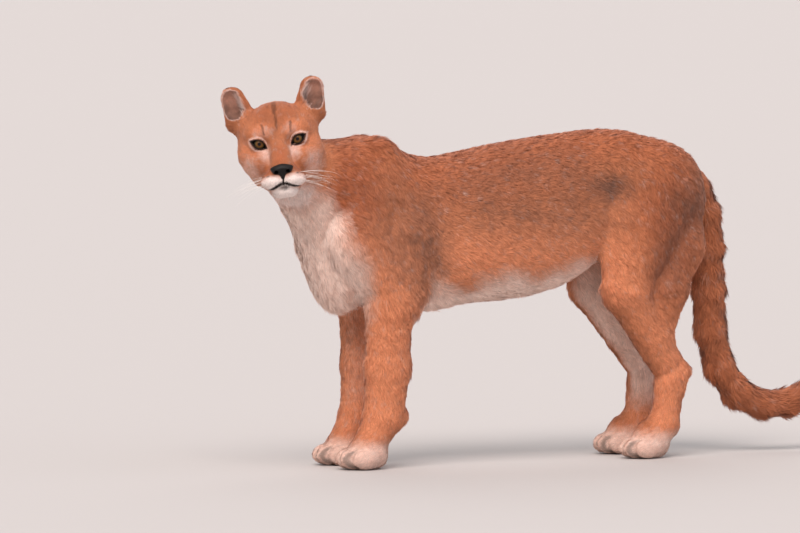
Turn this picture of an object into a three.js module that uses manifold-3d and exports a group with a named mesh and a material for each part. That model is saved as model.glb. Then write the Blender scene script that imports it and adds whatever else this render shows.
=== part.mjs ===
// A life-size cougar that stands on four paws with its head turned to its left, as a museum model.
// Millimetres. X runs forward along the spine, Y to the animal's left, Z up from the floor.
// The body is one smooth shape made of bones and muscles that blend, parted with thin cuts.
import * as THREE from "three";
import { mergeVertices } from "three/addons/utils/BufferGeometryUtils.js";
import Module from "manifold-3d";

const wasm = await Module();
wasm.setup();

// Driving dimensions
const CUT_GAP = 0.4; // between neighbouring pieces
const WELD = 0.02; // corners closer than this are one
const FORE_TRACK = 60; // from the midline to a foreleg
const HIND_TRACK = 62; // from the midline to a hind leg
const SHOULDER_X = 0; // the forelegs' place along the spine
const HIP_X = -590; // the hip joints' place along the spine
const HEAD_AT = [247, 89, 623.5]; // the point midway between the eyes
const HEAD_TURN = 63; // degrees to the animal's left
const HEAD_ROLL = 8; // degrees, left side up
const HEAD_NOD = -2; // degrees, nose up
const EYE_SPREAD = 36; // from the face's midline to an eye
const EYE_BACK = 4; // from the face's front plane back to an eye's middle
const EYE_RADIUS = 16.5;
const MOUTH_GAP = 1.2; // between the lips
const LIP_GROOVE = 3; // radius of the groove that parts the lips
const JAW_BACK = 16; // where the lower jaw's own piece starts, in front of the eyes' plane
const EAR_ROOT = [-55, 63.5, 45.5]; // the left ear's root in the head's frame
const EAR_HEIGHT = 70; // from its root to its tip
const EAR_BASE = 32; // half the ear's width at its root
const EAR_TIP = 24; // radius of its round tip
const EAR_CUT = 5; // from its root to where the ear's own piece starts

// Trunk outline: station along X, top, bottom, half width
const TRUNK = [
  { x: 110, top: 585, bottom: 350, half: 64 },
  { x: 60, top: 618, bottom: 314, half: 84 },
  { x: 0, top: 624, bottom: 296, half: 98 },
  { x: -60, top: 601, bottom: 290, half: 105 },
  { x: -110, top: 591, bottom: 291, half: 109 },
  { x: -180, top: 600, bottom: 303, half: 111 },
  { x: -260, top: 614, bottom: 308, half: 108 },
  { x: -330, top: 624, bottom: 316, half: 101 },
  { x: -400, top: 632, bottom: 336, half: 94 },
  { x: -460, top: 637, bottom: 372, half: 90 },
  { x: -520, top: 632, bottom: 410, half: 90 },
  { x: -580, top: 619, bottom: 440, half: 88 },
  { x: -640, top: 593, bottom: 465, half: 74 },
  { x: -680, top: 558, bottom: 496, half: 46 },
];
const TRUNK_CORNER = 2.3; // 2 is an ellipse, more is squarer
const BACK_TAPER = 0.16; // how much narrower the back is than the belly

// The tail's middle line from its root, each with the radius there
const TAIL = [
  { at: [-652, 0, 546], r: 38 },
  { at: [-688, 0, 520], r: 34 },
  { at: [-714, 0, 470], r: 31 },
  { at: [-723, 0, 400], r: 31 },
  { at: [-726, 0, 320], r: 32 },
  { at: [-730, 0, 240], r: 31 },
  { at: [-748, 1, 170], r: 30 },
  { at: [-785, 3, 118], r: 29 },
  { at: [-838, 6, 92], r: 28 },
  { at: [-893, 10, 92], r: 27 },
  { at: [-940, 14, 112], r: 25 },
  { at: [-972, 17, 140], r: 19 },
];

// Small helpers
const SIDES = [[1, "left"], [-1, "right"]];
const add = (a, b, k = 1) => a.map((n, i) => n + k * b[i]);
const mix = (a, b, t) => a.map((n, i) => n + t * (b[i] - n));
const lerp = (a, b, t) => a + t * (b - a);
const clamp = (n, lo, hi) => Math.min(hi, Math.max(lo, n));
const radians = THREE.MathUtils.degToRad;

// Smooth union and smooth cut of two distances, over a width k
function join(a, b, k) {
  const h = Math.max(k - Math.abs(a - b), 0) / k;
  return Math.min(a, b) - (h * h * k) / 4;
}
const carve = (a, b, k) => -join(-a, b, k);

// A tapered bone between two points. squash narrows it across the body.
function bone(from, to, start, end, squash = 1) {
  const side = (from[1] + to[1]) / 2;
  const a = [from[0], side + (from[1] - side) / squash, from[2]];
  const d = [to[0] - a[0], side + (to[1] - side) / squash - a[1], to[2] - a[2]];
  const length2 = d[0] * d[0] + d[1] * d[1] + d[2] * d[2];
  return (x, y, z) => {
    const px = x - a[0];
    const py = side + (y - side) / squash - a[1];
    const pz = z - a[2];
    const t = clamp((px * d[0] + py * d[1] + pz * d[2]) / length2, 0, 1);
    return Math.hypot(px - t * d[0], py - t * d[1], pz - t * d[2]) - lerp(start, end, t);
  };
}

// A muscle or pad shaped as an ellipsoid
function egg(at, r) {
  return (x, y, z) => {
    const px = (x - at[0]) / r[0];
    const py = (y - at[1]) / r[1];
    const pz = (z - at[2]) / r[2];
    const far = Math.hypot(px, py, pz);
    const slope = Math.hypot(px / r[0], py / r[1], pz / r[2]);
    return slope > 1e-9 ? (far * (far - 1)) / slope : -Math.min(...r);
  };
}

// Parts joined in order, each over its own blend width
function blended(parts) {
  return (x, y, z) => {
    let d = parts[0].shape(x, y, z);
    for (const { shape, blend } of parts.slice(1)) d = join(d, shape(x, y, z), blend);
    return d;
  };
}

// A shape that stands in a frame of its own
function placed(pose, shape) {
  const m = pose.clone().invert().elements;
  return (x, y, z) =>
    shape(
      m[0] * x + m[4] * y + m[8] * z + m[12],
      m[1] * x + m[5] * y + m[9] * z + m[13],
      m[2] * x + m[6] * y + m[10] * z + m[14],
    );
}

// A smooth curve through one column of the trunk's stations
function outline(key) {
  const s = TRUNK;
  const slope = s.map((_, i) => {
    const a = s[Math.max(i - 1, 0)];
    const b = s[Math.min(i + 1, s.length - 1)];
    return (b[key] - a[key]) / (b.x - a.x);
  });
  return (x) => {
    let i = 0;
    while (i < s.length - 2 && x < s[i + 1].x) i++;
    const width = s[i + 1].x - s[i].x;
    const t = clamp((x - s[i].x) / width, 0, 1);
    const u = 1 - t;
    return (
      s[i][key] * (1 + 2 * t) * u * u +
      s[i + 1][key] * (3 - 2 * t) * t * t +
      width * t * u * (slope[i] * u - slope[i + 1] * t)
    );
  };
}
const topAt = outline("top");
const bottomAt = outline("bottom");
const halfAt = outline("half");

function trunk(x, y, z) {
  const cx = clamp(x, TRUNK.at(-1).x, TRUNK[0].x);
  const top = topAt(cx);
  const bottom = bottomAt(cx);
  const high = (top - bottom) / 2;
  const up = (z - (top + bottom) / 2) / high;
  const half = halfAt(cx) * (1 - BACK_TAPER * clamp(up, -1, 1));
  const far = (Math.abs(y / half) ** TRUNK_CORNER + Math.abs(up) ** TRUNK_CORNER) ** (1 / TRUNK_CORNER);
  const d = (far - 1) * Math.min(high, half);
  return x === cx ? d : Math.hypot(Math.max(d, 0), x - cx);
}

// A paw: instep, ball and four toes that point forward from the ankle's place
function paw([x, y], { wrist, reach, wide, leg }) {
  const ball = reach * 0.5;
  const toeLong = 27;
  const toeWide = wide * 0.33;
  const toes = [-1, -0.36, 0.36, 1].map((across) => {
    const outer = Math.abs(across) > 0.5 ? 17 : 0;
    const place = [x + reach - outer - toeLong, y + across * (wide - toeWide), 21];
    return { shape: egg(place, [toeLong, toeWide + 1, 20.5]), blend: 5 };
  });
  return [
    { shape: bone([x, y, wrist], [x + ball * 0.6, y, 44], leg, 33, 0.92), blend: 16 },
    { shape: egg([x + ball * 0.72, y, 25], [ball * 0.95, wide * 0.86, 30]), blend: 14 },
    ...toes,
  ];
}

// One foreleg: shoulder blade, upper arm, forearm, wrist, paw. side is 1 on the left.
function foreleg(side, forward) {
  const blade = [SHOULDER_X + 14, side * 38, 586];
  const point = [SHOULDER_X + 70, side * 74, 430];
  const elbow = [SHOULDER_X - 12, side * 70, 322];
  const triceps = [SHOULDER_X - 34, side * 80, 440];
  const at = (x, y, z) => [SHOULDER_X + forward + x, side * y, z];
  return [
    { shape: bone(blade, point, 36, 54, 0.72), blend: 30 },
    { shape: bone(point, elbow, 54, 50, 0.74), blend: 24 },
    { shape: bone(triceps, [SHOULDER_X - 30, side * 76, 345], 46, 36, 0.7), blend: 26 },
    { shape: bone(elbow, at(-36, 66, 300), 40, 26, 0.8), blend: 16 },
    { shape: bone(at(2, FORE_TRACK + 6, 308), at(2, FORE_TRACK, 190), 50, 45, 0.78), blend: 20 },
    { shape: bone(at(2, FORE_TRACK, 190), at(9, FORE_TRACK, 104), 45, 40, 0.8), blend: 16 },
    { shape: egg(at(-24, FORE_TRACK, 98), [18, 18, 20]), blend: 12 },
    ...paw(at(14, FORE_TRACK), { wrist: 92, reach: 92, wide: 42, leg: 36 }),
  ];
}

// One hind leg: haunch, thigh, hamstring, knee, shank, tendon, heel, long foot, paw
function hindleg(side, forward) {
  const hip = [HIP_X + 12, side * 60, 512];
  const seat = [HIP_X - 48, side * 52, 482];
  const ham = [HIP_X - 42, side * 60, 408];
  const at = (x, y, z) => [HIP_X + forward + x, side * y, z];
  const knee = at(92, 76, 332);
  const calf = at(-6, 68, 322);
  const tendon = at(-4, 65, 222);
  const heel = at(-40, HIND_TRACK + 2, 166);
  return [
    { shape: bone([HIP_X + 80, side * 44, 558], [HIP_X - 14, side * 50, 530], 64, 60, 0.8), blend: 34 },
    { shape: bone(hip, knee, 90, 46, 0.66), blend: 36 },
    { shape: bone(seat, ham, 44, 44, 0.8), blend: 26 },
    { shape: bone(ham, calf, 44, 40, 0.78), blend: 26 },
    { shape: bone(at(60, 70, 440), knee, 74, 40, 0.62), blend: 30 },
    { shape: bone(at(86, 74, 318), at(2, HIND_TRACK + 2, 186), 46, 31, 0.82), blend: 20 },
    { shape: bone(calf, at(20, 66, 236), 42, 34, 0.72), blend: 20 },
    { shape: bone(at(-4, 66, 275), tendon, 22, 17, 0.8), blend: 14 },
    { shape: bone(tendon, heel, 17, 17, 0.8), blend: 12 },
    { shape: bone(heel, at(-18, HIND_TRACK, 142), 17, 30, 0.85), blend: 14 },
    { shape: bone(at(-16, HIND_TRACK, 150), at(-4, HIND_TRACK, 66), 32, 28, 0.88), blend: 14 },
    ...paw(at(-2, HIND_TRACK), { wrist: 62, reach: 92, wide: 39, leg: 29 }),
  ];
}

// The head's own frame: f forward out of the face, l to its left, u up, from midway between the eyes
const headPose = new THREE.Matrix4()
  .makeRotationFromEuler(new THREE.Euler(radians(HEAD_ROLL), radians(HEAD_NOD), radians(HEAD_TURN), "ZYX"))
  .setPosition(...HEAD_AT);

// Left and right alike, in the head's frame
const pair = (make, blend) => SIDES.map(([side]) => ({ shape: make(side), blend }));

// An ear's own frame in the head's: x across, y out of the cup, z up to the tip
function earPose(side) {
  const up = new THREE.Vector3(0.08, side * 0.24, 0.97).normalize();
  const across = new THREE.Vector3(0.93, side * 0.36, 0).cross(up).normalize();
  const out = up.clone().cross(across).normalize();
  const root = new THREE.Vector3(EAR_ROOT[0], side * EAR_ROOT[1], EAR_ROOT[2]);
  return new THREE.Matrix4().makeBasis(across, out, up).setPosition(root);
}
const earOuter = bone([0, 0, 6], [0, 0, EAR_HEIGHT - EAR_TIP], EAR_BASE, EAR_TIP, 0.55);
const earInner = bone([0, 12, 29], [0, 10, EAR_HEIGHT - EAR_TIP], EAR_BASE - 11, EAR_TIP - 6.5, 0.8);

// The line of the mouth from its middle back to a corner, in the head's frame, for the left side
const MOUTH = [
  [66, 0, -78],
  [62, 12, -84],
  [54, 24, -89],
  [40, 35, -90],
  [20, 38, -88],
];

const skull = blended([
  { shape: egg([-54, 0, 14], [68, 66, 62]), blend: 1 },
  ...pair((s) => egg([-56, s * 38, 20], [48, 38, 38]), 18),
  ...pair((s) => egg([-38, s * 41, -20], [40, 39, 36]), 20),
  ...pair((s) => egg([-42, s * 26, -50], [46, 36, 30]), 20),
  ...pair((s) => bone([4, s * 14, 18], [-8, s * 46, 18], 15, 14), 16),
  { shape: egg([-14, 0, 34], [30, 36, 37]), blend: 20 },
  { shape: bone([-4, 0, 4], [46, 0, -42], 20, 19), blend: 18 },
  { shape: egg([26, 0, -66], [42, 34, 27]), blend: 16 },
  ...pair((s) => egg([6, s * 34, -36], [24, 20, 24]), 16),
  ...pair((s) => egg([45, s * 21.5, -72], [24, 22.5, 17]), 7),
  { shape: egg([36, 0, -92], [20, 22, 14]), blend: 8 },
  ...pair((s) => bone([26, s * 13, -88], [-34, s * 34, -62], 14, 20), 14),
]);
const sockets = SIDES.map(([s]) => egg([26, s * 37, -1], [14, 17, 10]));
const lids = SIDES.map(([s]) => egg([-EYE_BACK, s * EYE_SPREAD, 0], [19, 19.5, 18.5]));
const onSide = (side, [x, y, z]) => [x, side * y, z];
const grooves = SIDES.flatMap(([s]) =>
  MOUTH.slice(1).map((to, i) => bone(onSide(s, MOUTH[i]), onSide(s, to), LIP_GROOVE, LIP_GROOVE)),
);
const earShells = SIDES.map(([s]) => placed(earPose(s), earOuter));
const earCups = SIDES.map(([s]) => placed(earPose(s), earInner));
function headShape(f, l, u) {
  let d = skull(f, l, u);
  for (const socket of sockets) d = carve(d, socket(f, l, u), 12);
  for (const lid of lids) d = join(d, lid(f, l, u), 5);
  for (const groove of grooves) d = carve(d, groove(f, l, u), 3);
  for (const shell of earShells) d = join(d, shell(f, l, u), 10);
  for (const cup of earCups) d = carve(d, cup(f, l, u), 3);
  return d;
}

// The nose leather, with and without its nostrils
const noseWhole = blended([
  { shape: egg([60, 0, -51], [13, 22, 9]), blend: 1 },
  ...pair((s) => egg([62, s * 11, -56], [11, 9.5, 8]), 6),
  { shape: bone([65, 0, -54], [64, 0, -67], 9, 4.5), blend: 6 },
]);
// Each nostril is a short tunnel with a slit that runs outward from it
const NOSTRIL = [
  { from: [78, 7, -59], to: [61, 14, -54], start: 4.8, end: 3 },
  { from: [72, 13, -60], to: [58, 22, -62], start: 2.8, end: 1.6 },
];

const neck = [
  { shape: bone([52, 0, 506], [172, 28, 561], 110, 72, 0.86), blend: 40 },
  { shape: bone([94, 0, 420], [148, 12, 505], 64, 48, 0.95), blend: 30 },
  { shape: egg([84, 0, 378], [48, 70, 80]), blend: 30 },
];
const tailShape = blended(
  TAIL.slice(1).map((end, i) => ({ shape: bone(TAIL[i].at, end.at, TAIL[i].r, end.r), blend: 10 })),
);
const limbs = blended([
  { shape: trunk, blend: 1 },
  ...neck,
  ...foreleg(1, 2),
  ...foreleg(-1, -8),
  ...hindleg(1, 0),
  ...hindleg(-1, -10),
]);
const body = blended([{ shape: limbs, blend: 1 }, { shape: tailShape, blend: 18 }]);
const headOnNeck = blended([
  { shape: headShape, blend: 1 },
  { shape: placed(headPose.clone().invert(), limbs), blend: 24 },
]);

// Grid lines from a start, each stretch with its end and its spacing
function ticks(start, ...stretches) {
  const lines = [start];
  for (const [end, spacing] of stretches) {
    const from = lines.at(-1);
    const count = Math.round((end - from) / spacing);
    for (let i = 1; i <= count; i++) lines.push(lerp(from, end, i / count));
  }
  return lines;
}

const CORNERS = [0, 1, 2, 3, 4, 5, 6, 7].map((c) => [c & 1, (c >> 1) & 1, c >> 2]);
const EDGES = CORNERS.flatMap((_, a) => [1, 2, 4].filter((bit) => !(a & bit)).map((bit) => [a, a | bit]));

// Walks a grid and lays a closed surface where the distance is nought, then slides each corner onto it
function surface(distance, ...lines) {
  const n = lines.map((line) => line.length);
  const outside = (x, y, z) => {
    const inset = [x, y, z].map((c, k) => Math.max(lines[k][1] - c, c - lines[k][n[k] - 2]));
    return Math.max(distance(x, y, z), ...inset);
  };
  const index = (i, j, k) => i + n[0] * (j + n[1] * k);
  const value = new Float32Array(n[0] * n[1] * n[2]);
  lines[2].forEach((z, k) =>
    lines[1].forEach((y, j) =>
      lines[0].forEach((x, i) => {
        value[index(i, j, k)] = outside(x, y, z);
      }),
    ),
  );
  const corner = new Map();
  const points = [];
  for (let k = 0; k < n[2] - 1; k++)
    for (let j = 0; j < n[1] - 1; j++)
      for (let i = 0; i < n[0] - 1; i++) {
        const v = CORNERS.map((e) => value[index(i + e[0], j + e[1], k + e[2])]);
        const crossed = EDGES.filter(([a, b]) => v[a] < 0 !== v[b] < 0);
        if (!crossed.length) continue;
        const sum = crossed.reduce(
          (s, [a, b]) => add(s, mix(CORNERS[a], CORNERS[b], v[a] / (v[a] - v[b]))),
          [0, 0, 0],
        );
        const low = [lines[0][i], lines[1][j], lines[2][k]];
        const high = [lines[0][i + 1], lines[1][j + 1], lines[2][k + 1]];
        const cell = add(high, low, -1);
        const start = low.map((c, m) => c + (sum[m] / crossed.length) * cell[m]);
        corner.set(index(i, j, k), points.length);
        points.push(settle(outside, start, cell));
      }
  return solidFrom(points.flat(), facesOf(value, index, n, corner, points));
}

// Two triangles for each grid edge that passes through the surface
function facesOf(value, index, n, corner, points) {
  const faces = [];
  const span = (g, h) => Math.hypot(...add(points[g], points[h], -1));
  const across = [[1, 2], [2, 0], [0, 1]];
  for (let k = 1; k < n[2] - 1; k++)
    for (let j = 1; j < n[1] - 1; j++)
      for (let i = 1; i < n[0] - 1; i++)
        across.forEach(([b, c], a) => {
          const here = [i, j, k];
          const next = [...here];
          next[a]++;
          const inside = value[index(...here)] < 0;
          if (inside === value[index(...next)] < 0) return;
          const ring = [[0, 0], [1, 0], [1, 1], [0, 1]].map(([back, down]) => {
            const at = [...here];
            at[b] -= back;
            at[c] -= down;
            return corner.get(index(...at));
          });
          if (!inside) ring.reverse();
          const [p, q, r, s] = ring;
          if (span(p, r) <= span(q, s)) faces.push(p, q, r, p, r, s);
          else faces.push(q, r, s, q, s, p);
        });
  return faces;
}

// Moves a corner along the slope of the distance onto the surface, within part of a cell
function settle(distance, start, cell) {
  const step = 0.5;
  let p = start;
  for (let round = 0; round < 2; round++) {
    const d = distance(...p);
    const slope = [0, 1, 2].map((m) => {
      const q = [...p];
      q[m] += step;
      return (distance(...q) - d) / step;
    });
    const size2 = slope.reduce((s, g) => s + g * g, 0);
    if (size2 < 0.05) break;
    p = p.map((c, m) => c - clamp((d * slope[m]) / size2, -cell[m] / 4, cell[m] / 4));
  }
  return p;
}

// Closed triangles to a solid that can be cut and joined
function solidFrom(vertices, faces) {
  return new wasm.Manifold(
    new wasm.Mesh({ numProp: 3, vertProperties: new Float32Array(vertices), triVerts: new Uint32Array(faces) }),
  );
}
function solidOf(geometry, pose = new THREE.Matrix4()) {
  const g = geometry.clone().applyMatrix4(pose);
  g.deleteAttribute("normal");
  g.deleteAttribute("uv");
  const m = mergeVertices(g, 1e-3);
  return solidFrom(m.attributes.position.array, m.index.array);
}
function block(low, high, pose) {
  const size = add(high, low, -1);
  const middle = mix(low, high, 0.5);
  return solidOf(new THREE.BoxGeometry(...size).translate(...middle), pose);
}
const posed = (solid, pose) => solid.transform(pose.elements);

// Keeps what lies on the side that facing points to, half a gap past the point
function keep(solid, { at, facing }, way = 1) {
  const unit = new THREE.Vector3(...facing).normalize().multiplyScalar(way);
  const offset = unit.dot(new THREE.Vector3(...at)) + CUT_GAP / 2;
  return solid.trimByPlane(unit.toArray(), offset);
}
const largest = (solid) => solid.decompose().sort((a, b) => b.volume() - a.volume())[0];

// Where the body is cut, each with the way towards the outer piece
const HEAD_CUT = { at: [184, 6, 572], facing: [0.72, 0.52, 0.42] };
const NECK_CUT = { at: [58, 0, 548], facing: [0.86, 0, 0.5] };
const RIB_CUT = { at: [-225, 0, 450], facing: [1, 0, 0] };
const LOIN_CUT = { at: [-412, 0, 450], facing: [1, 0, 0.12] };
const ELBOW_CUT = { at: [0, 0, 262], facing: [0, 0, 1] };
const WRIST_CUT = { at: [0, 0, 84], facing: [-0.25, 0, 1] };
const KNEE_CUT = { at: [-540, 0, 305], facing: [0.25, 0, 1] };
const HOCK_CUT = { at: [-606, 0, 150], facing: [0.3, 0, 1] };
const TAIL_CUTS = [
  { at: [0, 0, 468], facing: [0, 0, -1] },
  { at: [0, 0, 330], facing: [0, 0, -1] },
  { at: [-748, 0, 170], facing: [-0.55, 0, -0.83] },
];
const FLOOR = { at: [0, 0, -CUT_GAP / 2], facing: [0, 0, 1] };

// The slanted side of the trunk that belongs to a leg: outside a plane that rises from the groin or armpit
const FORE_WEDGE = { low: [8, 262], high: [128, 520], back: -92, front: 190 };
const HIND_WEDGE = { low: [6, 332], high: [118, 575], back: -694, front: -434 };
function legWedge(side, { low, high, back, front }, grow) {
  const long = 350;
  const deep = 400;
  const along = new THREE.Vector3(0, high[0] - low[0], high[1] - low[1]).normalize();
  const outward = new THREE.Vector3(0, along.z, -along.y);
  const frame = new THREE.Matrix4().makeBasis(new THREE.Vector3(1, 0, 0), outward, along);
  frame.setPosition(0, low[0], low[1]);
  const made = block([back - grow, -grow, -long], [front + grow, deep, long], frame);
  return side > 0 ? made : made.mirror([0, 1, 0]);
}

// Cuts that shape the face: the opening between an eye's lids, the eyeball, the lower jaw
function lidOpening(side) {
  const shape = new THREE.Shape();
  shape.moveTo(side * 22.5, -10);
  shape.quadraticCurveTo(side * 30, 11, side * 42, 10.5);
  shape.quadraticCurveTo(side * 50, 9.5, side * 54, 7.5);
  shape.quadraticCurveTo(side * 47, -7, side * 36, -8);
  shape.quadraticCurveTo(side * 28, -8, side * 22.5, -10);
  return faceCut(shape, 2, 40);
}
function jawBlock() {
  const shape = new THREE.Shape();
  shape.moveTo(0, -79);
  shape.quadraticCurveTo(8, -88, 24, -89);
  shape.lineTo(75, -90);
  shape.lineTo(75, -140);
  shape.lineTo(-75, -140);
  shape.lineTo(-75, -90);
  shape.lineTo(-24, -89);
  shape.quadraticCurveTo(-8, -88, 0, -79);
  return faceCut(shape, JAW_BACK, 100);
}

// Extrudes a shape drawn on the face, seen from its front, from one depth to another
function faceCut(shape, from, to) {
  const options = { depth: to - from, bevelEnabled: false, curveSegments: 6 };
  const geometry = new THREE.ExtrudeGeometry(shape, options);
  const left = new THREE.Vector3(0, 1, 0);
  const up = new THREE.Vector3(0, 0, 1);
  const pose = new THREE.Matrix4().makeBasis(left, up, new THREE.Vector3(1, 0, 0)).setPosition(from, 0, 0);
  return solidOf(geometry, pose);
}
function tunnel(side, { from, to, start, end }) {
  const a = new THREE.Vector3(...onSide(side, from));
  const b = new THREE.Vector3(...onSide(side, to));
  const way = b.clone().sub(a).normalize();
  const turn = new THREE.Quaternion().setFromUnitVectors(new THREE.Vector3(0, 1, 0), way);
  const pose = new THREE.Matrix4().compose(a.clone().lerp(b, 0.5), turn, new THREE.Vector3(1, 1, 1));
  return solidOf(new THREE.CylinderGeometry(end, start, a.distanceTo(b), 9), pose);
}
const eyeball = (side, radius) =>
  solidOf(new THREE.SphereGeometry(radius, 12, 8).translate(-EYE_BACK, side * EYE_SPREAD, 0));
const earBlock = (side, grow) => block([-34, -38, EAR_CUT - grow], [34, 38, 120], earPose(side));

// Every node, in the body's frame
const nodes = {};
const noseLines = [ticks(38, [80, 5.2]), ticks(-30, [30, 5]), ticks(-84, [-34, 5])];
const noseRoom = surface((f, l, u) => noseWhole(f, l, u) - 0.6, ...noseLines);
let head = surface(
  headOnNeck,
  ticks(-200, [-130, 23], [-20, 18], [80, 8.3]),
  ticks(-112, [-56, 14], [56, 8], [112, 14]),
  ticks(-150, [-115, 17], [-55, 6.6], [25, 8.8], [100, 15]),
);
head = head.subtract(noseRoom);
for (const [side, word] of SIDES) {
  head = head.subtract(eyeball(side, EYE_RADIUS + CUT_GAP)).subtract(lidOpening(side));
  head = head.subtract(earBlock(side, CUT_GAP / 2));
  nodes[`eye_${word}`] = eyeball(side, EYE_RADIUS);
  const lines = [ticks(-48, [48, 8]), ticks(-40, [40, 6.6]), ticks(-12, [90, 8])];
  const ear = surface(placed(earPose(side).invert(), headShape), ...lines);
  nodes[`ear_${word}`] = largest(posed(ear, earPose(side)).intersect(earBlock(side, -CUT_GAP / 2)));
}
nodes.nose = surface(noseWhole, ...noseLines);
for (const [side] of SIDES)
  for (const hole of NOSTRIL) nodes.nose = nodes.nose.subtract(tunnel(side, hole));
nodes.nose = largest(nodes.nose);
nodes.lower_jaw = largest(head.intersect(jawBlock().translate(CUT_GAP, 0, -MOUTH_GAP)));
nodes.head = largest(head.subtract(jawBlock()));
for (const name of Object.keys(nodes)) nodes[name] = posed(nodes[name], headPose);
nodes.head = largest(keep(nodes.head, HEAD_CUT));

const neckField = blended([{ shape: placed(headPose, headShape), blend: 1 }, { shape: limbs, blend: 24 }]);
const neckWhole = surface(neckField, ticks(-20, [310, 24]), ticks(-130, [150, 22]), ticks(320, [690, 22]));
nodes.neck = largest(keep(keep(neckWhole, HEAD_CUT, -1), NECK_CUT));

let torso = surface(body, ticks(-800, [220, 35]), ticks(-160, [160, 23]), ticks(240, [680, 25]));
torso = keep(torso, NECK_CUT, -1);
const tailRoom = block([-900, -60, 100], [-687, 60, TAIL_CUTS[0].at[2] + CUT_GAP / 2]);
torso = torso.subtract(tailRoom);
for (const wedge of [FORE_WEDGE, HIND_WEDGE])
  for (const [side] of SIDES) torso = torso.subtract(legWedge(side, wedge, CUT_GAP / 2));
nodes.chest = largest(keep(torso, RIB_CUT));
nodes.belly = largest(keep(keep(torso, RIB_CUT, -1), LOIN_CUT));
nodes.rump = largest(keep(torso, LOIN_CUT, -1));

// The soles are cut flat at the floor
for (const [side, word] of SIDES) {
  const across = (spacing) => (side > 0 ? ticks(-13, [195, spacing]) : ticks(-195, [13, spacing]));
  const fore = surface(limbs, ticks(-135, [190, 22]), across(19), ticks(40, [560, 33]));
  nodes[`upper_foreleg_${word}`] = largest(
    keep(keep(fore, ELBOW_CUT), NECK_CUT, -1).intersect(legWedge(side, FORE_WEDGE, -CUT_GAP / 2)),
  );
  nodes[`forearm_${word}`] = largest(keep(keep(fore, ELBOW_CUT, -1), WRIST_CUT));
  const narrow = side > 0 ? ticks(0, [120, 12]) : ticks(-120, [0, 12]);
  const forePaw = surface(limbs, ticks(-60, [150, 14]), narrow, ticks(-24, [56, 13], [140, 28]));
  nodes[`forepaw_${word}`] = largest(keep(keep(forePaw, WRIST_CUT, -1), FLOOR));
  const hind = surface(limbs, ticks(-725, [-405, 22]), across(20), ticks(110, [610, 32]));
  nodes[`thigh_${word}`] = largest(keep(hind, KNEE_CUT).intersect(legWedge(side, HIND_WEDGE, -CUT_GAP / 2)));
  nodes[`shank_${word}`] = largest(keep(keep(hind, KNEE_CUT, -1), HOCK_CUT));
  const hindPaw = surface(limbs, ticks(-680, [-470, 14]), narrow, ticks(-24, [56, 13], [200, 36]));
  nodes[`hind_foot_${word}`] = largest(keep(keep(hindPaw, HOCK_CUT, -1), FLOOR));
}

const tailLines = [ticks(-1015, [-770, 24], [-670, 17]), ticks(-56, [70, 18]), ticks(40, [160, 18], [500, 40])];
const tail = surface(body, ...tailLines);
["tail_base", "tail_mid", "tail_tip"].forEach((name, i) => {
  const from = keep(tail, TAIL_CUTS[i]);
  nodes[name] = largest(i < 2 ? keep(from, TAIL_CUTS[i + 1], -1) : from);
});

// Finishes: the coat is short dense hair, darker on the back and tail, pale on the jaw and the paws
const FINISH = {
  coat: { color: 0xb07a4a, roughness: 0.85 },
  back: { color: 0x9c6c45, roughness: 0.85 },
  pale: { color: 0xd9c4a8, roughness: 0.85 },
  tail: { color: 0x7d5537, roughness: 0.9 },
  ear: { color: 0xa88868, roughness: 0.85 },
  nose: { color: 0x2a1f1c, roughness: 0.45 },
  eye: { color: 0x6e4a1c, roughness: 0.1 },
};
const FINISH_OF = [
  [/^eye/, "eye"],
  [/^nose/, "nose"],
  [/^ear/, "ear"],
  [/^tail/, "tail"],
  [/jaw|paw|foot/, "pale"],
  [/rump|belly|thigh/, "back"],
  [/./, "coat"],
];

// The cut solid as drawn triangles, with corners nearer than WELD made one and slivers dropped
function drawn(solid) {
  const { vertProperties, triVerts } = solid.getMesh();
  const loose = new THREE.BufferGeometry()
    .setAttribute("position", new THREE.BufferAttribute(new Float32Array(vertProperties), 3))
    .setIndex(new THREE.BufferAttribute(triVerts, 1));
  const geometry = mergeVertices(loose, WELD);
  const seen = new Map();
  const index = geometry.index.array;
  for (let i = 0; i < index.length; i += 3) {
    const face = [index[i], index[i + 1], index[i + 2]];
    if (new Set(face).size < 3) continue;
    const key = [...face].sort((a, b) => a - b).join();
    if (!seen.delete(key)) seen.set(key, face);
  }
  return geometry.setIndex([...seen.values()].flat());
}

const model = new THREE.Group();
for (const [name, solid] of Object.entries(nodes)) {
  const geometry = drawn(solid);
  const [, finish] = FINISH_OF.find(([pattern]) => pattern.test(name));
  const mesh = new THREE.Mesh(geometry, new THREE.MeshStandardMaterial({ ...FINISH[finish], metalness: 0 }));
  mesh.name = name;
  model.add(mesh);
}

// The origin moves to the middle of the model's base
const box = new THREE.Box3().setFromObject(model);
const middle = box.getCenter(new THREE.Vector3());
model.position.set(-middle.x, -middle.y, -box.min.z);
export default model;
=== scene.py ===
import math

import bpy
import numpy as np
from mathutils import Euler, Matrix, Vector


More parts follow.
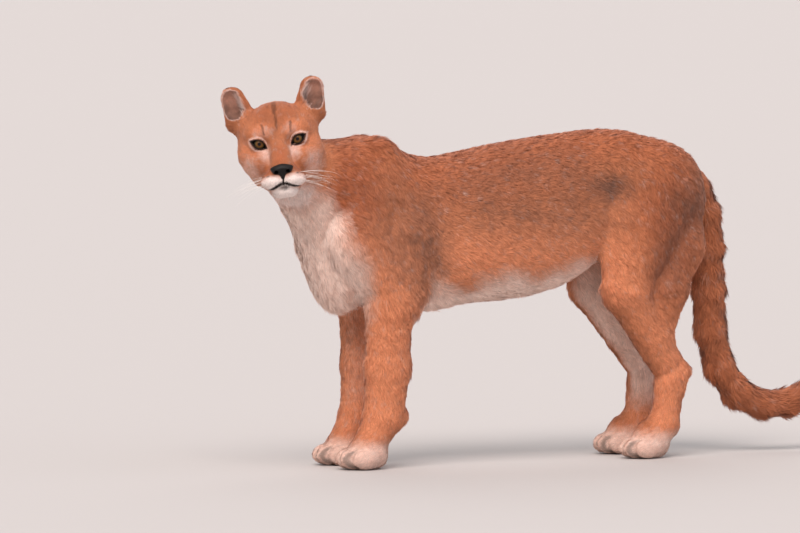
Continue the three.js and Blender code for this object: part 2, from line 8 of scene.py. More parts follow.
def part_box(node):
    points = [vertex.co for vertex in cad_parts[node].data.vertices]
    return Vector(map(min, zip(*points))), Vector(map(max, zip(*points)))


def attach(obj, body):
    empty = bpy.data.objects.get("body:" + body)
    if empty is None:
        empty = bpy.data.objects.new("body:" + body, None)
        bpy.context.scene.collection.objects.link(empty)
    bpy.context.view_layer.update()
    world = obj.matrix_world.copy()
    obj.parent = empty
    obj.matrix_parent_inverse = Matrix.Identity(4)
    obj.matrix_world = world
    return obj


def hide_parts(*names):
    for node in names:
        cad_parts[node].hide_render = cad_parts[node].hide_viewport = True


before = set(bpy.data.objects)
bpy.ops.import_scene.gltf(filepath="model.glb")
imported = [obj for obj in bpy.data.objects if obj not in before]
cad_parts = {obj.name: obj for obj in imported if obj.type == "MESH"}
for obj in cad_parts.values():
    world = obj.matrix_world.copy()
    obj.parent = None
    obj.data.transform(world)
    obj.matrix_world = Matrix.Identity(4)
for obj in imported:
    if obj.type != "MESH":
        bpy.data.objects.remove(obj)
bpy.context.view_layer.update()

# The body under its coat: a cougar's flesh and skin, one smooth form of bones and muscles that blend.
# Each muscle is a tapered rod or an egg at its real place. Places here are millimetres, with X forward
# along the spine, Y to the animal's left and Z up from the floor.
SIDES = (1, -1)
FORE_TRACK = 60
HIND_TRACK = 62
HIP_X = -590
TRUNK = np.array([
    # station, top, bottom, half width
    (110, 585, 350, 64),
    (60, 618, 314, 84),
    (0, 624, 296, 98),
    (-60, 601, 290, 105),
    (-110, 591, 291, 109),
    (-180, 600, 303, 111),
    (-260, 614, 308, 108),
    (-330, 624, 316, 101),
    (-400, 632, 336, 94),
    (-460, 637, 372, 90),
    (-520, 632, 410, 90),
    (-580, 619, 440, 88),
    (-640, 593, 465, 74),
    (-680, 558, 496, 46),
], float)
TRUNK_CORNER = 2.3  # the power in the trunk's cross-section: 2 is an ellipse, more is squarer
BACK_TAPER = 0.16  # how much narrower the trunk is at its top than at half height
TAIL = [
    # a point on the tail's middle line, the radius there
    ((-652, 0, 546), 38),
    ((-688, 0, 520), 34),
    ((-714, 0, 470), 31),
    ((-723, 0, 400), 31),
    ((-726, 0, 320), 32),
    ((-730, 0, 240), 31),
    ((-748, 1, 170), 30),
    ((-785, 3, 118), 29),
    ((-838, 6, 92), 28),
    ((-893, 10, 92), 27),
    ((-940, 14, 112), 25),
    ((-972, 17, 140), 19),
]


# Each form is a function that gives how far points lie outside it. Two forms are joined, or one is cut
# out of another, with a soft fillet of about width k.
def join(a, b, k):
    h = np.maximum(k - np.abs(a - b), 0) / k
    return np.minimum(a, b) - h * h * k / 4


def carve(a, b, k):
    return -join(-a, b, k)


# A rod with round ends whose radius runs from wide to narrow; squash flattens it from side to side
def bone(start, end, wide, narrow, squash=1.0):
    side = (start[1] + end[1]) / 2
    a = (start[0], side + (start[1] - side) / squash, start[2])
    d = (end[0] - a[0], side + (end[1] - side) / squash - a[1], end[2] - a[2])
    length2 = d[0] ** 2 + d[1] ** 2 + d[2] ** 2

    def shape(p):
        x = p[0] - a[0]
        y = side + (p[1] - side) / squash - a[1]
        z = p[2] - a[2]
        t = np.clip((x * d[0] + y * d[1] + z * d[2]) / length2, 0, 1)
        away = np.sqrt((x - t * d[0]) ** 2 + (y - t * d[1]) ** 2 + (z - t * d[2]) ** 2)
        return away - wide - t * (narrow - wide)

    return shape


# An egg with its middle at a place and its three half lengths in r
def egg(at, r):
    def shape(p):
        x, y, z = ((p[i] - at[i]) / r[i] for i in range(3))
        far = np.sqrt(x * x + y * y + z * z)
        slope = np.sqrt((x / r[0]) ** 2 + (y / r[1]) ** 2 + (z / r[2]) ** 2)
        return far * (far - 1) / np.maximum(slope, 1e-6)

    return shape


# Parts joined one after another, each given with the width of its own fillet
def blended(parts):
    def shape(p):
        d = parts[0][1](p)
        for blend, part in parts[1:]:
            d = join(d, part(p), blend)
        return d

    return shape


# A form moved and turned to a pose
def placed(pose, shape):
    back = np.linalg.inv(pose).astype(np.float32)
    return lambda p: shape(back[:3, :3] @ p + back[:3, 3:])


# A smooth curve along the animal through one column of the trunk's table
def outline(column):
    x, v = TRUNK[:, 0], TRUNK[:, column]
    ends = np.clip(np.arange(len(x))[:, None] + (-1, 1), 0, len(x) - 1)
    slope = (v[ends[:, 1]] - v[ends[:, 0]]) / (x[ends[:, 1]] - x[ends[:, 0]])

    def at(px):
        i = np.clip(np.searchsorted(-x, -px, side="right") - 1, 0, len(x) - 2)
        width = x[i + 1] - x[i]
        t = np.clip((px - x[i]) / width, 0, 1)
        u = 1 - t
        level = v[i] * (1 + 2 * t) * u * u + v[i + 1] * (3 - 2 * t) * t * t
        return (level + width * t * u * (slope[i] * u - slope[i + 1] * t)).astype(np.float32)

    return at


top_at, bottom_at, half_at = (outline(column) for column in (1, 2, 3))


def trunk(p):
    x = np.clip(p[0], TRUNK[-1, 0], TRUNK[0, 0])
    top, bottom = top_at(x), bottom_at(x)
    high = (top - bottom) / 2
    up = (p[2] - (top + bottom) / 2) / high
    half = half_at(x) * (1 - BACK_TAPER * np.clip(up, -1, 1))
    far = (np.abs(p[1] / half) ** TRUNK_CORNER + np.abs(up) ** TRUNK_CORNER) ** (1 / TRUNK_CORNER)
    d = (far - 1) * np.minimum(high, half)
    return np.where(p[0] == x, d, np.hypot(np.maximum(d, 0), p[0] - x))


TOES = (-1, -0.36, 0.36, 1)  # the four toes' places across a paw
OUTER_TOE_BACK = 17


def paw(x, y, wrist, reach, wide, leg):
    ball = reach * 0.5
    toe_long, toe_wide = 27, wide * 0.33
    toes = []
    for across in TOES:
        outer = OUTER_TOE_BACK if abs(across) == 1 else 0
        place = (x + reach - outer - toe_long, y + across * (wide - toe_wide), 21)
        toes.append((5, egg(place, (toe_long, toe_wide + 1, 20.5))))
    return [
        (16, bone((x, y, wrist), (x + ball * 0.6, y, 44), leg, 33, 0.92)),
        (14, egg((x + ball * 0.72, y, 25), (ball * 0.95, wide * 0.86, 30))),
        *toes,
    ]


def foreleg(side, forward):
    blade = (14, side * 38, 586)
    point = (70, side * 74, 430)
    elbow = (-12, side * 70, 322)
    triceps = (-34, side * 80, 440)
    at = lambda x, y, z: (forward + x, side * y, z)
    return [
        (30, bone(blade, point, 36, 54, 0.72)),
        (24, bone(point, elbow, 54, 50, 0.74)),
        (26, bone(triceps, (-30, side * 76, 345), 46, 36, 0.7)),
        (16, bone(elbow, at(-36, 66, 300), 40, 26, 0.8)),
        (20, bone(at(2, FORE_TRACK + 6, 308), at(2, FORE_TRACK, 190), 50, 45, 0.78)),
        (16, bone(at(2, FORE_TRACK, 190), at(9, FORE_TRACK, 104), 45, 40, 0.8)),
        (12, egg(at(-24, FORE_TRACK, 98), (18, 18, 20))),
        *paw(forward + 14, side * FORE_TRACK, 92, 92, 42, 36),
    ]


def hindleg(side, forward):
    hip = (HIP_X + 12, side * 60, 512)
    seat = (HIP_X - 48, side * 52, 482)
    ham = (HIP_X - 42, side * 60, 408)
    at = lambda x, y, z: (HIP_X + forward + x, side * y, z)
    knee, calf, tendon = at(92, 76, 332), at(-6, 68, 322), at(-4, 65, 222)
    heel = at(-40, HIND_TRACK + 2, 166)
    return [
        (34, bone((HIP_X + 80, side * 44, 558), (HIP_X - 14, side * 50, 530), 64, 60, 0.8)),
        (36, bone(hip, knee, 90, 46, 0.66)),
        (26, bone(seat, ham, 44, 44, 0.8)),
        (26, bone(ham, calf, 44, 40, 0.78)),
        (30, bone(at(60, 70, 440), knee, 74, 40, 0.62)),
        (20, bone(at(86, 74, 318), at(2, HIND_TRACK + 2, 186), 46, 31, 0.82)),
        (20, bone(calf, at(20, 66, 236), 42, 34, 0.72)),
        (14, bone(at(-4, 66, 275), tendon, 22, 17, 0.8)),
        (12, bone(tendon, heel, 17, 17, 0.8)),
        (14, bone(heel, at(-18, HIND_TRACK, 142), 17, 30, 0.85)),
        (14, bone(at(-16, HIND_TRACK, 150), at(-4, HIND_TRACK, 66), 32, 28, 0.88)),
        *paw(HIP_X + forward - 2, side * HIND_TRACK, 62, 92, 39, 29),
    ]


# The neck's column, its underside and the breast
neck = [
    (40, bone((52, 0, 506), (172, 28, 561), 110, 72, 0.86)),
    (30, bone((94, 0, 420), (148, 12, 505), 64, 48, 0.95)),
    (30, egg((84, 0, 378), (48, 70, 80))),
]
limbs = blended([
    (1, trunk), *neck, *foreleg(1, 2), *foreleg(-1, -8), *hindleg(1, 0), *hindleg(-1, -10),
])
tail = blended([(10, bone(a, b, ra, rb)) for (a, ra), (b, rb) in zip(TAIL, TAIL[1:])])
body = blended([(1, limbs), (18, tail)])

# The head: broad cheeks, a short muzzle with full whisker pads, lids round each eye and upright ears.
# It is shaped in its own frame, f forward out of the face, l to its left and u up, from midway between
# the eyes, and the frame is turned to the animal's left.
HEAD_AT = (247, 89, 623.5)
HEAD_TURN = 63
HEAD_ROLL = 8
HEAD_NOD = -2
EYE_SPREAD = 36
EYE_BACK = 4
EYE_RADIUS = 16.5
EAR_ROOT = (-55, 63.5, 45.5)
EAR_HEIGHT = 70
EAR_BASE = 32
EAR_TIP = 24
head_turn = Euler([math.radians(a) for a in (HEAD_ROLL, HEAD_NOD, HEAD_TURN)])
head_pose = np.array(Matrix.Translation(HEAD_AT) @ head_turn.to_matrix().to_4x4())
BARE = 1.6  # how far the skin of the head lies under the tips of its fur
MOUTH = [(66, 0, -78), (62, 12, -84), (54, 24, -89), (40, 35, -90), (20, 38, -88)]
LID_INNER = (24, -8.5)  # the opening's corners, out and up from between the eyes
LID_OUTER = (50, 6.5)
LID_UPPER = 6.9  # how far each lid's edge arches from the line between the corners
LID_LOWER = 5.9


def pair(blend, make):
    return [(blend, make(side)) for side in SIDES]


def ear_pose(side):
    up = Vector((0.08, side * 0.24, 0.97)).normalized()
    across = Vector((0.93, side * 0.36, 0)).cross(up).normalized()
    out = up.cross(across).normalized()
    pose = Matrix((across, out, up)).transposed().to_4x4()
    pose.translation = (EAR_ROOT[0], side * EAR_ROOT[1], EAR_ROOT[2])
    return np.array(pose)


ear_outer = bone((0, 0, 6), (0, 0, EAR_HEIGHT - EAR_TIP), EAR_BASE, EAR_TIP, 0.55)
ear_inner = bone((0, 12, 29), (0, 10, EAR_HEIGHT - EAR_TIP), EAR_BASE - 11, EAR_TIP - 6.5, 0.8)
skull = blended([
    # braincase, temples, cheeks, throat corners
    (1, egg((-54, 0, 14), (68, 66, 62))),
    *pair(18, lambda s: egg((-56, s * 38, 20), (48, 38, 38))),
    *pair(20, lambda s: egg((-38, s * 41, -20), (40, 39, 36))),
    *pair(20, lambda s: egg((-42, s * 26, -50), (46, 36, 30))),
    # brows, forehead, bridge of the nose
    *pair(16, lambda s: bone((4, s * 14, 18), (-8, s * 46, 18), 15, 14)),
    (20, egg((-14, 0, 34), (30, 36, 37))),
    (18, bone((-4, 0, 4), (46, 0, -42), 20, 19)),
    # muzzle, cheekbones, whisker pads
    (16, egg((26, 0, -66), (42, 34, 27))),
    *pair(16, lambda s: egg((6, s * 34, -36), (24, 20, 24))),
    *pair(7, lambda s: egg((45, s * 21.5, -72), (24, 22.5, 17))),
    # chin, lower jaw
    (8, egg((36, 0, -92), (20, 22, 14))),
    *pair(14, lambda s: bone((26, s * 13, -88), (-34, s * 34, -62), 14, 20)),
])


# How far a point seen from the front is outside the almond between one eye's lids
def lid_opening(side):
    inner, outer = np.array(LID_INNER), np.array(LID_OUTER)
    middle, half = (inner + outer) / 2, np.linalg.norm(outer - inner) / 2
    along = (outer - inner) / (2 * half)

    def gap(p):
        l, u = side * p[1] - middle[0], p[2] - middle[1]
        a = (l * along[0] + u * along[1]) / half
        b = u * along[0] - l * along[1]
        return (np.abs(b) - np.where(b > 0, LID_UPPER, LID_LOWER) * (1 - a * a)) * 0.8

    return gap


lids = {s: egg((-EYE_BACK, s * EYE_SPREAD, 0), (19, 19.5, 18.5)) for s in SIDES}
gaps = {s: lid_opening(s) for s in SIDES}
sockets = [egg((26, s * 37, -1), (14, 17, 10)) for s in SIDES]
lips = [
    bone((a[0], s * a[1], a[2]), (b[0], s * b[1], b[2]), 2.2, 2.2)
    for s in SIDES for a, b in zip(MOUTH, MOUTH[1:])
]
ear_shells = [placed(ear_pose(s), ear_outer) for s in SIDES]
ear_cups = [placed(ear_pose(s), ear_inner) for s in SIDES]
nose_whole = blended([
    (1, egg((60, 0, -49.5), (12, 21.5, 6.5))),
    *pair(5, lambda s: egg((62, s * 10, -54), (11, 9, 6.5))),
    (6, bone((62, 0, -54), (65, 0, -67), 11, 3.8)),
])


# The skin of the head: eye sockets, a lid over each globe with a raised edge round its opening, the
# mouth's line, the bed of the nose, and cupped ears
def head_skin(p):
    d = skull(p) + BARE
    for socket in sockets:
        d = carve(d, socket(p), 12)
    for s in SIDES:
        lid, gap = lids[s](p), gaps[s](p)
        d = join(d, lid + 0.4, 4)
        d = join(d, np.hypot(np.maximum(gap, -3) - 0.6, lid) - 1.5, 1.6)
        d = carve(d, np.maximum(gap, 2 - p[0]), 1.0)
    for lip in lips:
        d = carve(d, lip(p), 2.5)
    d = carve(d, nose_whole(p) + 1.2, 1)
    for shell, cup in zip(ear_shells, ear_cups):
        d = carve(join(d, shell(p) + 1.0, 10), cup(p) - 0.6, 3)
    return d


def lerp(a, b, t):
    return a + t * (b - a)


def ease(low, high, x):
    t = np.clip((x - low) / (high - low), 0, 1)
    return t * t * (3 - 2 * t)


FOOT_COAT = 1.8  # how deep the coat is on the feet, the trunk and the tail
TRUNK_COAT = 4.0
TAIL_COAT = 5.5


def inset(p):
    depth = lerp(FOOT_COAT, TRUNK_COAT, ease(60, 300, p[2]))
    on_tail = ease(20, 0, tail(p)) * ease(-690, -715, p[0])
    return lerp(depth, TAIL_COAT, on_tail)


def body_skin(p):
    return body(p) + inset(p)


body_in_head = placed(np.linalg.inv(head_pose), body_skin)


def head_field(p):
    return join(head_skin(p), body_in_head(p), 24)


# The skin's surface: short-haired hide drawn over the flesh. A closed net of four-sided faces is laid
# where the distance to a form is nought, on a grid of cubes, and is then settled onto the form. Only
# cubes near the form are worked out, found first on a coarser grid.
CORNERS = np.array([(c & 1, (c >> 1) & 1, c >> 2) for c in range(8)])
EDGES = [(a, a | bit) for a in range(8) for bit in (1, 2, 4) if not a & bit]
CULL = 4  # the coarser grid's cell, in cells


def slope_of(field, p, step=0.25):
    p = p.astype(np.float32)
    d = field(p)
    rise = [field(p + step * np.eye(3, dtype=np.float32)[:, k: k + 1]) - d for k in range(3)]
    return d, np.stack(rise) / step


def surface(field, low, high, cell):
    lines = [np.arange(a, b, cell, dtype=np.float32) for a, b in zip(low, high)]
    shape = [len(line) for line in lines]
    coarse = np.stack(np.meshgrid(*[line[::CULL] for line in lines], indexing="ij"))
    value = field(coarse.reshape(3, -1)).reshape(coarse.shape[1:]).astype(np.float32)
    for axis in range(3):
        value = value.repeat(CULL, axis)
    value = np.ascontiguousarray(value[:shape[0], :shape[1], :shape[2]])
    near = np.nonzero(np.abs(value) < 2.2 * CULL * cell)
    value[near] = field(np.stack([lines[k][near[k]] for k in range(3)]))
    # a point for each cube that the form's surface passes through
    inside = value < 0
    count = sum(inside[x:shape[0] - 1 + x, y:shape[1] - 1 + y, z:shape[2] - 1 + z].astype(np.int8)
                for x, y, z in CORNERS)
    cells = np.stack(np.nonzero((count > 0) & (count < 8)), 1)
    corner = np.stack([value[tuple((cells + c).T)] for c in CORNERS], 1)
    total, crossed = np.zeros((len(cells), 3)), np.zeros(len(cells))
    for a, b in EDGES:
        cut = (corner[:, a] < 0) != (corner[:, b] < 0)
        t = np.where(cut, corner[:, a] / np.where(cut, corner[:, a] - corner[:, b], 1), 0)
        total += np.where(cut, 1, 0)[:, None] * (CORNERS[a] + t[:, None] * (CORNERS[b] - CORNERS[a]))
        crossed += cut
    points = np.array([line[0] for line in lines]) + (cells + total / crossed[:, None]) * cell
    for _ in range(2):
        d, slope = slope_of(field, points.T)
        size2 = np.maximum((slope ** 2).sum(0), 0.05)
        points = points - np.clip(d * slope / size2, -cell / 3, cell / 3).T
    # a face round each line between two cubes' corners that the surface crosses
    number = np.full([n - 1 for n in shape], -1, np.int64)
    number[tuple(cells.T)] = np.arange(len(cells))
    quads = []
    for a in range(3):
        b, c = (a + 1) % 3, (a + 2) % 3
        lower = [slice(1, n - 1) for n in shape]
        upper = list(lower)
        upper[a] = slice(2, shape[a])
        here = inside[tuple(lower)]
        at = np.stack(np.nonzero(here != inside[tuple(upper)]), 1) + 1
        ring = []
        for back, down in ((0, 0), (1, 0), (1, 1), (0, 1)):
            q = at.copy()
            q[:, b] -= back
            q[:, c] -= down
            ring.append(number[tuple(q.T)])
        ring = np.stack(ring, 1)
        solid = inside[tuple(at.T)]
        quads.append(np.where(solid[:, None], ring, ring[:, ::-1]))
    return points, np.concatenate(quads)


def unit(v):
    return v / np.maximum(np.linalg.norm(v, axis=1, keepdims=True), 1e-9)


def turned(pose, p):
    return p @ pose[:3, :3].T


def moved(pose, p):
    return turned(pose, p) + pose[:3, 3]


# Two nets make the hide: a coarse one for the body and a fine one for the head, which overlap a little
# under the coat of the neck
BODY_CELL = 5.5
HEAD_CELL = 1.7
HEAD_CUT = (np.array((184, 6, 572)), np.array((0.72, 0.52, 0.42)))  # where the fine net takes over
NET_OVERLAP = 6
SOLE = 1.0  # how high the pads' skin lies over the floor


def beyond(cut, p):
    return (p - cut[0]) @ (cut[1] / np.linalg.norm(cut[1]))


body_points, body_quads = surface(body_skin, (-1012, -130, -6), (230, 150, 668), BODY_CELL)
body_points[:, 2] = np.maximum(body_points[:, 2], SOLE)
body_normals = unit(slope_of(body_skin, body_points.T)[1].T)
body_quads = body_quads[(beyond(HEAD_CUT, body_points) < NET_OVERLAP)[body_quads].all(1)]
head_local, head_quads = surface(head_field, (-146, -112, -132), (76, 112, 128), HEAD_CELL)
head_points = moved(head_pose, head_local)
head_normals = turned(head_pose, unit(slope_of(head_field, head_local.T)[1].T))
head_quads = head_quads[(beyond(HEAD_CUT, head_points) > 0)[head_quads].all(1)]

# The frame's own origin, found from where the left eye's solid is
eye_middle = moved(head_pose, np.array([(-EYE_BACK, EYE_SPREAD, 0)]))[0]
low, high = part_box("eye_left")
SHIFT = np.array((low + high) / 2) * 1000 - eye_middle


def metres(points):
    return (points + SHIFT) / 1000


# The markings, alike on skin and coat: each is a number from 0 to 1 worked out from the place on the
# animal. Pale covers the throat, chest, belly and inner legs, white the muzzle, chin and the patches
# about the eyes, grey the mottled shoulder, flank and rump, rust the back and neck, black the rims.
# Black also paints shade: behind the elbows, along the gaps between the toes and deep in the ears' cups.
# A spot is an egg round a place, 1 inside and fading out over its soft edge. Waves are slow and
# random, of about a given size, and break the markings' edges up.
def spot(p, at, r, soft):
    far = np.sqrt(sum(((p[i] - at[i]) / r[i]) ** 2 for i in range(3)))
    return ease(1 + soft, 1 - soft, far)


def waves(p, size, seed):
    rng = np.random.default_rng(seed)
    total = 0
    for _ in range(7):
        way = rng.normal(size=3)
        way *= 2 * math.pi / (np.linalg.norm(way) * size * rng.uniform(0.7, 1.5))
        total = total + np.sin(way[0] * p[0] + way[1] * p[1] + way[2] * p[2] + rng.uniform(0, 6.28))
    return total / 3.2


WHISKERS = [
    # a whisker's root on the left pad in the head's frame: forward, out, up
    (f, l, u)
    for row, u in enumerate((-62, -67.5, -73, -79))
    for f, l in ((60 - row, 26), (54 - row, 33), (46 - row, 38.5), (37 - row, 42))
]
TOE_GAPS = [(a + b) / 2 for a, b in zip(TOES, TOES[1:])]
RUMP_PATCH = (-446, 82, 522)


# Painted shade: dark lines along the gaps between the toes, where shade falls
def toe_gap_shade(p):
    lines = np.zeros(p.shape[1])
    for tip, track, spread in ((80, FORE_TRACK, 28), (-520, HIND_TRACK, 26)):
        across = (np.abs(p[1]) - track) / spread
        gap = np.minimum.reduce([np.abs(across - middle) for middle in TOE_GAPS])
        on_toes = ease(60, 30, np.abs(p[0] - tip)) * ease(44, 32, p[2])
        lines = np.maximum(lines, ease(0.15, 0.03, gap) * on_toes)
    return lines


def body_markings_and_shade(p, n, head):
    side = np.array([p[0], np.abs(p[1]), p[2]])
    drift = waves(p, 70, 3) * 0.12
    fleck = waves(p * np.array([[0.6], [1], [1.3]]), 15, 5) * 0.5 + waves(p, 60, 6) * 0.4
    front = n[0] * 0.88 - n[2] * 0.47
    chest = ease(0.05, 0.85, front + drift) * ease(30, 85, p[0])
    chest *= ease(570, 470, p[2]) * ease(225, 310, p[2])
    throat = 0.85 * ease(-0.1, 0.6, -n[2] + 0.5 * n[0] + drift)
    throat *= ease(110, 150, p[0]) * ease(600, 540, p[2])
    belly = ease(0.15, 0.85, -n[2] + drift) * ease(430, 370, p[2]) * ease(260, 285, p[2])
    legs = ease(430, 330, p[2]) * ease(70, 150, p[2])
    inner = ease(0.0, 0.8, -n[1] * np.sign(p[1]) + drift) * legs * np.where(p[0] > -250, 0.15, 0.8)
    feet = 0.8 * ease(70, 30, p[2])
    belly *= np.where(p[0] < -440, ease(66, 46, np.abs(p[1])), 1)
    pale = np.clip(np.maximum.reduce([chest, throat, belly, inner, feet]), 0, 1) * (1 - head)
    grey = np.maximum.reduce([
        0.62 * spot(side, (-40, 85, 425), (66, 60, 105), 0.6),
        0.34 * spot(side, (30, 80, 480), (90, 60, 100), 0.6),
        0.42 * spot(side, (-300, 90, 520), (240, 80, 95), 0.6),
        0.75 * spot(side, RUMP_PATCH, (60, 60, 34), 0.95),
        0.6 * spot(side, (-610, 70, 490), (80, 70, 80), 0.6),
        0.5 * spot(side, (-590, 84, 420), (60, 60, 120), 0.8),
        0.15 * ease(14, 0, tail(p)) * ease(-690, -705, p[0]),
    ])
    grey = np.clip(grey + fleck * 0.26 * (0.25 + grey), 0, 1) * (1 - pale) * (1 - head)
    hind = spot(side, (-585, 84, 440), (86, 70, 170), 0.6)
    rust = np.maximum.reduce([
        0.6 * ease(-0.1, 0.7, n[2]) * ease(420, 520, p[2]),
        0.85 * spot(p, (110, 60, 530), (84, 90, 90), 0.5),
        0.5 * ease(-690, -705, p[0]),
        0.85 * hind,
    ]) * (1 - head)
    sun = ease(520, 380, p[2]) * ease(0.9, 0.2, np.abs(n[2])) * ease(-715, -690, p[0])
    sun *= (1 - pale) * (1 - 0.8 * hind)
    # a nick on the left hip, the rump, painted shade behind the elbow, the breast, the tail's back and
    # tip, and painted shade along the gaps between the toes
    dark_marks_and_shade = np.maximum.reduce([
        0.85 * spot(p, (-560, 84, 512), (8, 20, 4.5), 0.5),
        0.12 * spot(side, RUMP_PATCH, (50, 50, 26), 0.95),
        # painted shade in the crease behind the elbow
        0.22 * spot(side, (-64, 85, 385), (30, 50, 52), 0.8),
        0.3 * spot(side, (74, 62, 325), (22, 30, 24), 0.8) * (0.6 + fleck),
        0.4 * ease(0.2, 0.95, -n[0]) * ease(-712, -722, p[0]),
        0.75 * ease(-890, -965, p[0]),
        0.5 * toe_gap_shade(p),
    ])
    return {"pale": pale, "grey": grey, "rust": rust, "sun": sun, "black": dark_marks_and_shade}


def ear_markings_and_shade(h, n):
    lining, rim, back, deep, strands = (np.zeros(h.shape[1]) for _ in range(5))
    for s in SIDES:
        pose = ear_pose(s)
        e = np.linalg.inv(pose)[:3, :3] @ h + np.linalg.inv(pose)[:3, 3:]
        facing = pose[:3, 1] @ n
        cup = ear_inner(e)
        here = ease(0, 8, e[2]) * ease(42, 38, np.abs(e[0])) * ease(-30, -22, e[1])
        lining = np.maximum(lining, here * ease(3.0, 0.5, cup))
        inward = s * e[0]
        # painted shade deep in each ear's cup, strongest near its base
        low = np.maximum(ease(52, 14, e[2] + 0.7 * inward) * ease(14, 2, inward), 1.2 * ease(34, 16, e[2]))
        deep = np.maximum(deep, here * ease(2.5, 0, cup) * low)
        strands = np.maximum(strands, here * ease(3, 1, cup) * ease(2, 16, inward) * ease(62, 40, e[2]))
        rim = np.maximum(rim, here * ease(4.5, 2, cup) * ease(0.2, 2, cup) * ease(-2, 3, e[1]))
        back = np.maximum(back, here * ease(-0.1, -0.7, facing) * ease(5, 25, e[2]))
    return lining, rim, back, deep, strands


def markings_and_shade(points, normals):
    p = points.T
    h = moved(np.linalg.inv(head_pose), points).T
    n = turned(np.linalg.inv(head_pose), normals).T
    head = ease(-14, 10, beyond(HEAD_CUT, points))
    marks = body_markings_and_shade(p, normals.T, head)
    face = np.array([h[0], np.abs(h[1]), h[2]])
    flat = face * np.array([[0], [1], [1]])
    fleck = waves(h, 9, 9) * 0.5 + waves(h, 22, 10) * 0.5
    lining, rim, back, deep, strands = ear_markings_and_shade(h, n)
    # the crown, the muzzle's sides, the bridge of the nose
    rust = np.maximum.reduce([
        0.5 * spot(face, (-20, 0, 62), (70, 46, 40), 0.5),
        0.8 * spot(face, (46, 29, -50), (18, 12, 12), 0.5),
        0.9 * spot(face, (38, 41, -62), (18, 9, 12), 0.5),
        0.6 * spot(face, (48, 0, -28), (26, 12, 24), 0.5),
    ])
    sun = np.maximum.reduce([
        1.0 * spot(face, (14, 28, 21), (24, 20, 14), 0.6),
        0.9 * spot(face, (-10, 52, -24), (34, 26, 40), 0.6),
    ])
    grey = np.clip(0.22 * spot(face, (0, 0, 30), (60, 22, 60), 0.5) + 0.16 * fleck, 0, 1)
    # whisker pads, chin, under and over the eyes, cheeks, throat, the ears' edges and strands
    white = np.maximum.reduce([
        spot(face, (50, 17, -74), (24, 25, 14), 0.22),
        spot(face, (38, 0, -96), (30, 27, 16), 0.3),
        0.42 * spot(face, (12, 25, -25), (22, 14, 17), 0.6),
        0.16 * spot(face, (14, 27, 20), (24, 17, 12), 0.6),
        0.3 * spot(face, (-14, 56, -46), (40, 26, 24), 0.7),
        0.7 * spot(face, (-30, 0, -110), (70, 60, 34), 0.5),
        0.5 * rim,
        0.6 * strands,
    ])
    white *= 1 - 0.8 * spot(face, (38, 41, -62), (18, 9, 12), 0.5)
    # the lids' rims in a white ring, and the rows of whisker roots
    black = np.zeros(len(points))
    for s in SIDES:
        off = np.maximum(np.abs(lids[s](h)) - 3, 0)
        gap = gaps[s](h)
        facing = ease(-4, 2, h[0])
        white = np.maximum(white, 0.45 * ease(7.5, 4.5, gap + off) * ease(2, 4, gap) * facing)
        black = np.maximum(black, ease(3.4, 1.6, np.abs(gap) + off) * facing)
        for f, l, u in WHISKERS:
            black = np.maximum(black, 0.7 * spot(h, (f, s * l, u), (6, 2.3, 1.5), 0.4))
    # the line down from each eye's corner, a mark over each brow, the mouth, the groove under the nose
    tear = bone((9, 23, -9), (17, 18, -18), 3.0, 1.0)(face)
    black = np.maximum(black, ease(1.6, -0.6, tear))
    brow = bone((0, 24, 15), (0, 26, 32), 0.6, 1.6)(flat)
    black = np.maximum(black, 0.55 * ease(2.4, -0.6, brow) * ease(-4, 2, h[0]))
    near_middle = ease(34, 24, face[1])
    lip = np.minimum.reduce([shape(h) for shape in lips])
    black = np.maximum(black, ease(4.2, 1.6, lip) * lerp(0.4, 1, near_middle))
    split = bone((0, 0, -68), (0, 0, -79), 0.6, 0.9)(flat)
    black = np.maximum(black, ease(1.4, 0.3, split) * ease(40, 50, h[0]))
    # the lower lip's middle, the stripe on the crown, the ears' backs, and painted shade deep in
    # the ears' cups
    black = np.maximum(black, 0.7 * spot(face, (54, 0, -86), (9, 9, 4.5), 0.5))
    stripe = bone((0, 0, 84), (0, 0, 22), 6, 0.4)(flat)
    black = np.maximum(black, 0.5 * ease(3.0, -2.5, stripe + 1.8 * fleck) * ease(-36, -18, h[0]))
    black = np.maximum(black, np.maximum(0.5 * back, 0.62 * deep))
    marks["lining"] = lining * head
    for key, mine in (("rust", rust), ("sun", sun), ("grey", grey), ("black", black)):
        marks[key] = np.maximum(marks[key], mine * head * (1 - 0.8 * lining * (key != "black")))
    marks["white"] = white * head
    return marks


# The hair itself: keratin, straight and unclipped, with little gloss, so its roughness is high and a thin
# sheen softens its edges. Its colour changes with the place, by the markings, whose edges are broken up
# every 9 mm, and by a shade level that is random per tuft and lower near the tufts' roots and on the skin,
# where it is painted shade. Grain of 1.5 mm, several hairs wide, is as fine as the picture shows.
FUR = {
    "tan": "b9734f",
    "rust": "a05838",
    "sun": "d28660",
    "grey": "745041",
    "pale": "f2d6c8",
    "lining": "c4907c",
    "white": "f4e6e0",
    "black": "1c1210",
}
GRAIN = 1.5
RAGGED = 9
COLOUR_A = 6  # a colour mix node's sockets, which share their names with its other sockets
COLOUR_B = 7
COLOUR_OUT = 2


def linear(code):
    parts = [int(code[i: i + 2], 16) / 255 for i in (0, 2, 4)]
    return tuple(c / 12.92 if c <= 0.04045 else ((c + 0.055) / 1.055) ** 2.4 for c in parts) + (1,)


def node(material, kind, inputs=(), links=(), **settings):
    made = material.node_tree.nodes.new(kind)
    for key, value in settings.items():
        setattr(made, key, value)
    for key, value in dict(inputs).items():
        made.inputs[key].default_value = value
    for key, socket in dict(links).items():
        material.node_tree.links.new(socket, made.inputs[key])
    return made


def new_material(name, **values):
    material = bpy.data.materials.new(name)
    material.use_nodes = True
    shader = material.node_tree.nodes["Principled BSDF"]
    for key, value in values.items():
        shader.inputs[key.replace("_", " ")].default_value = value
    return material, shader


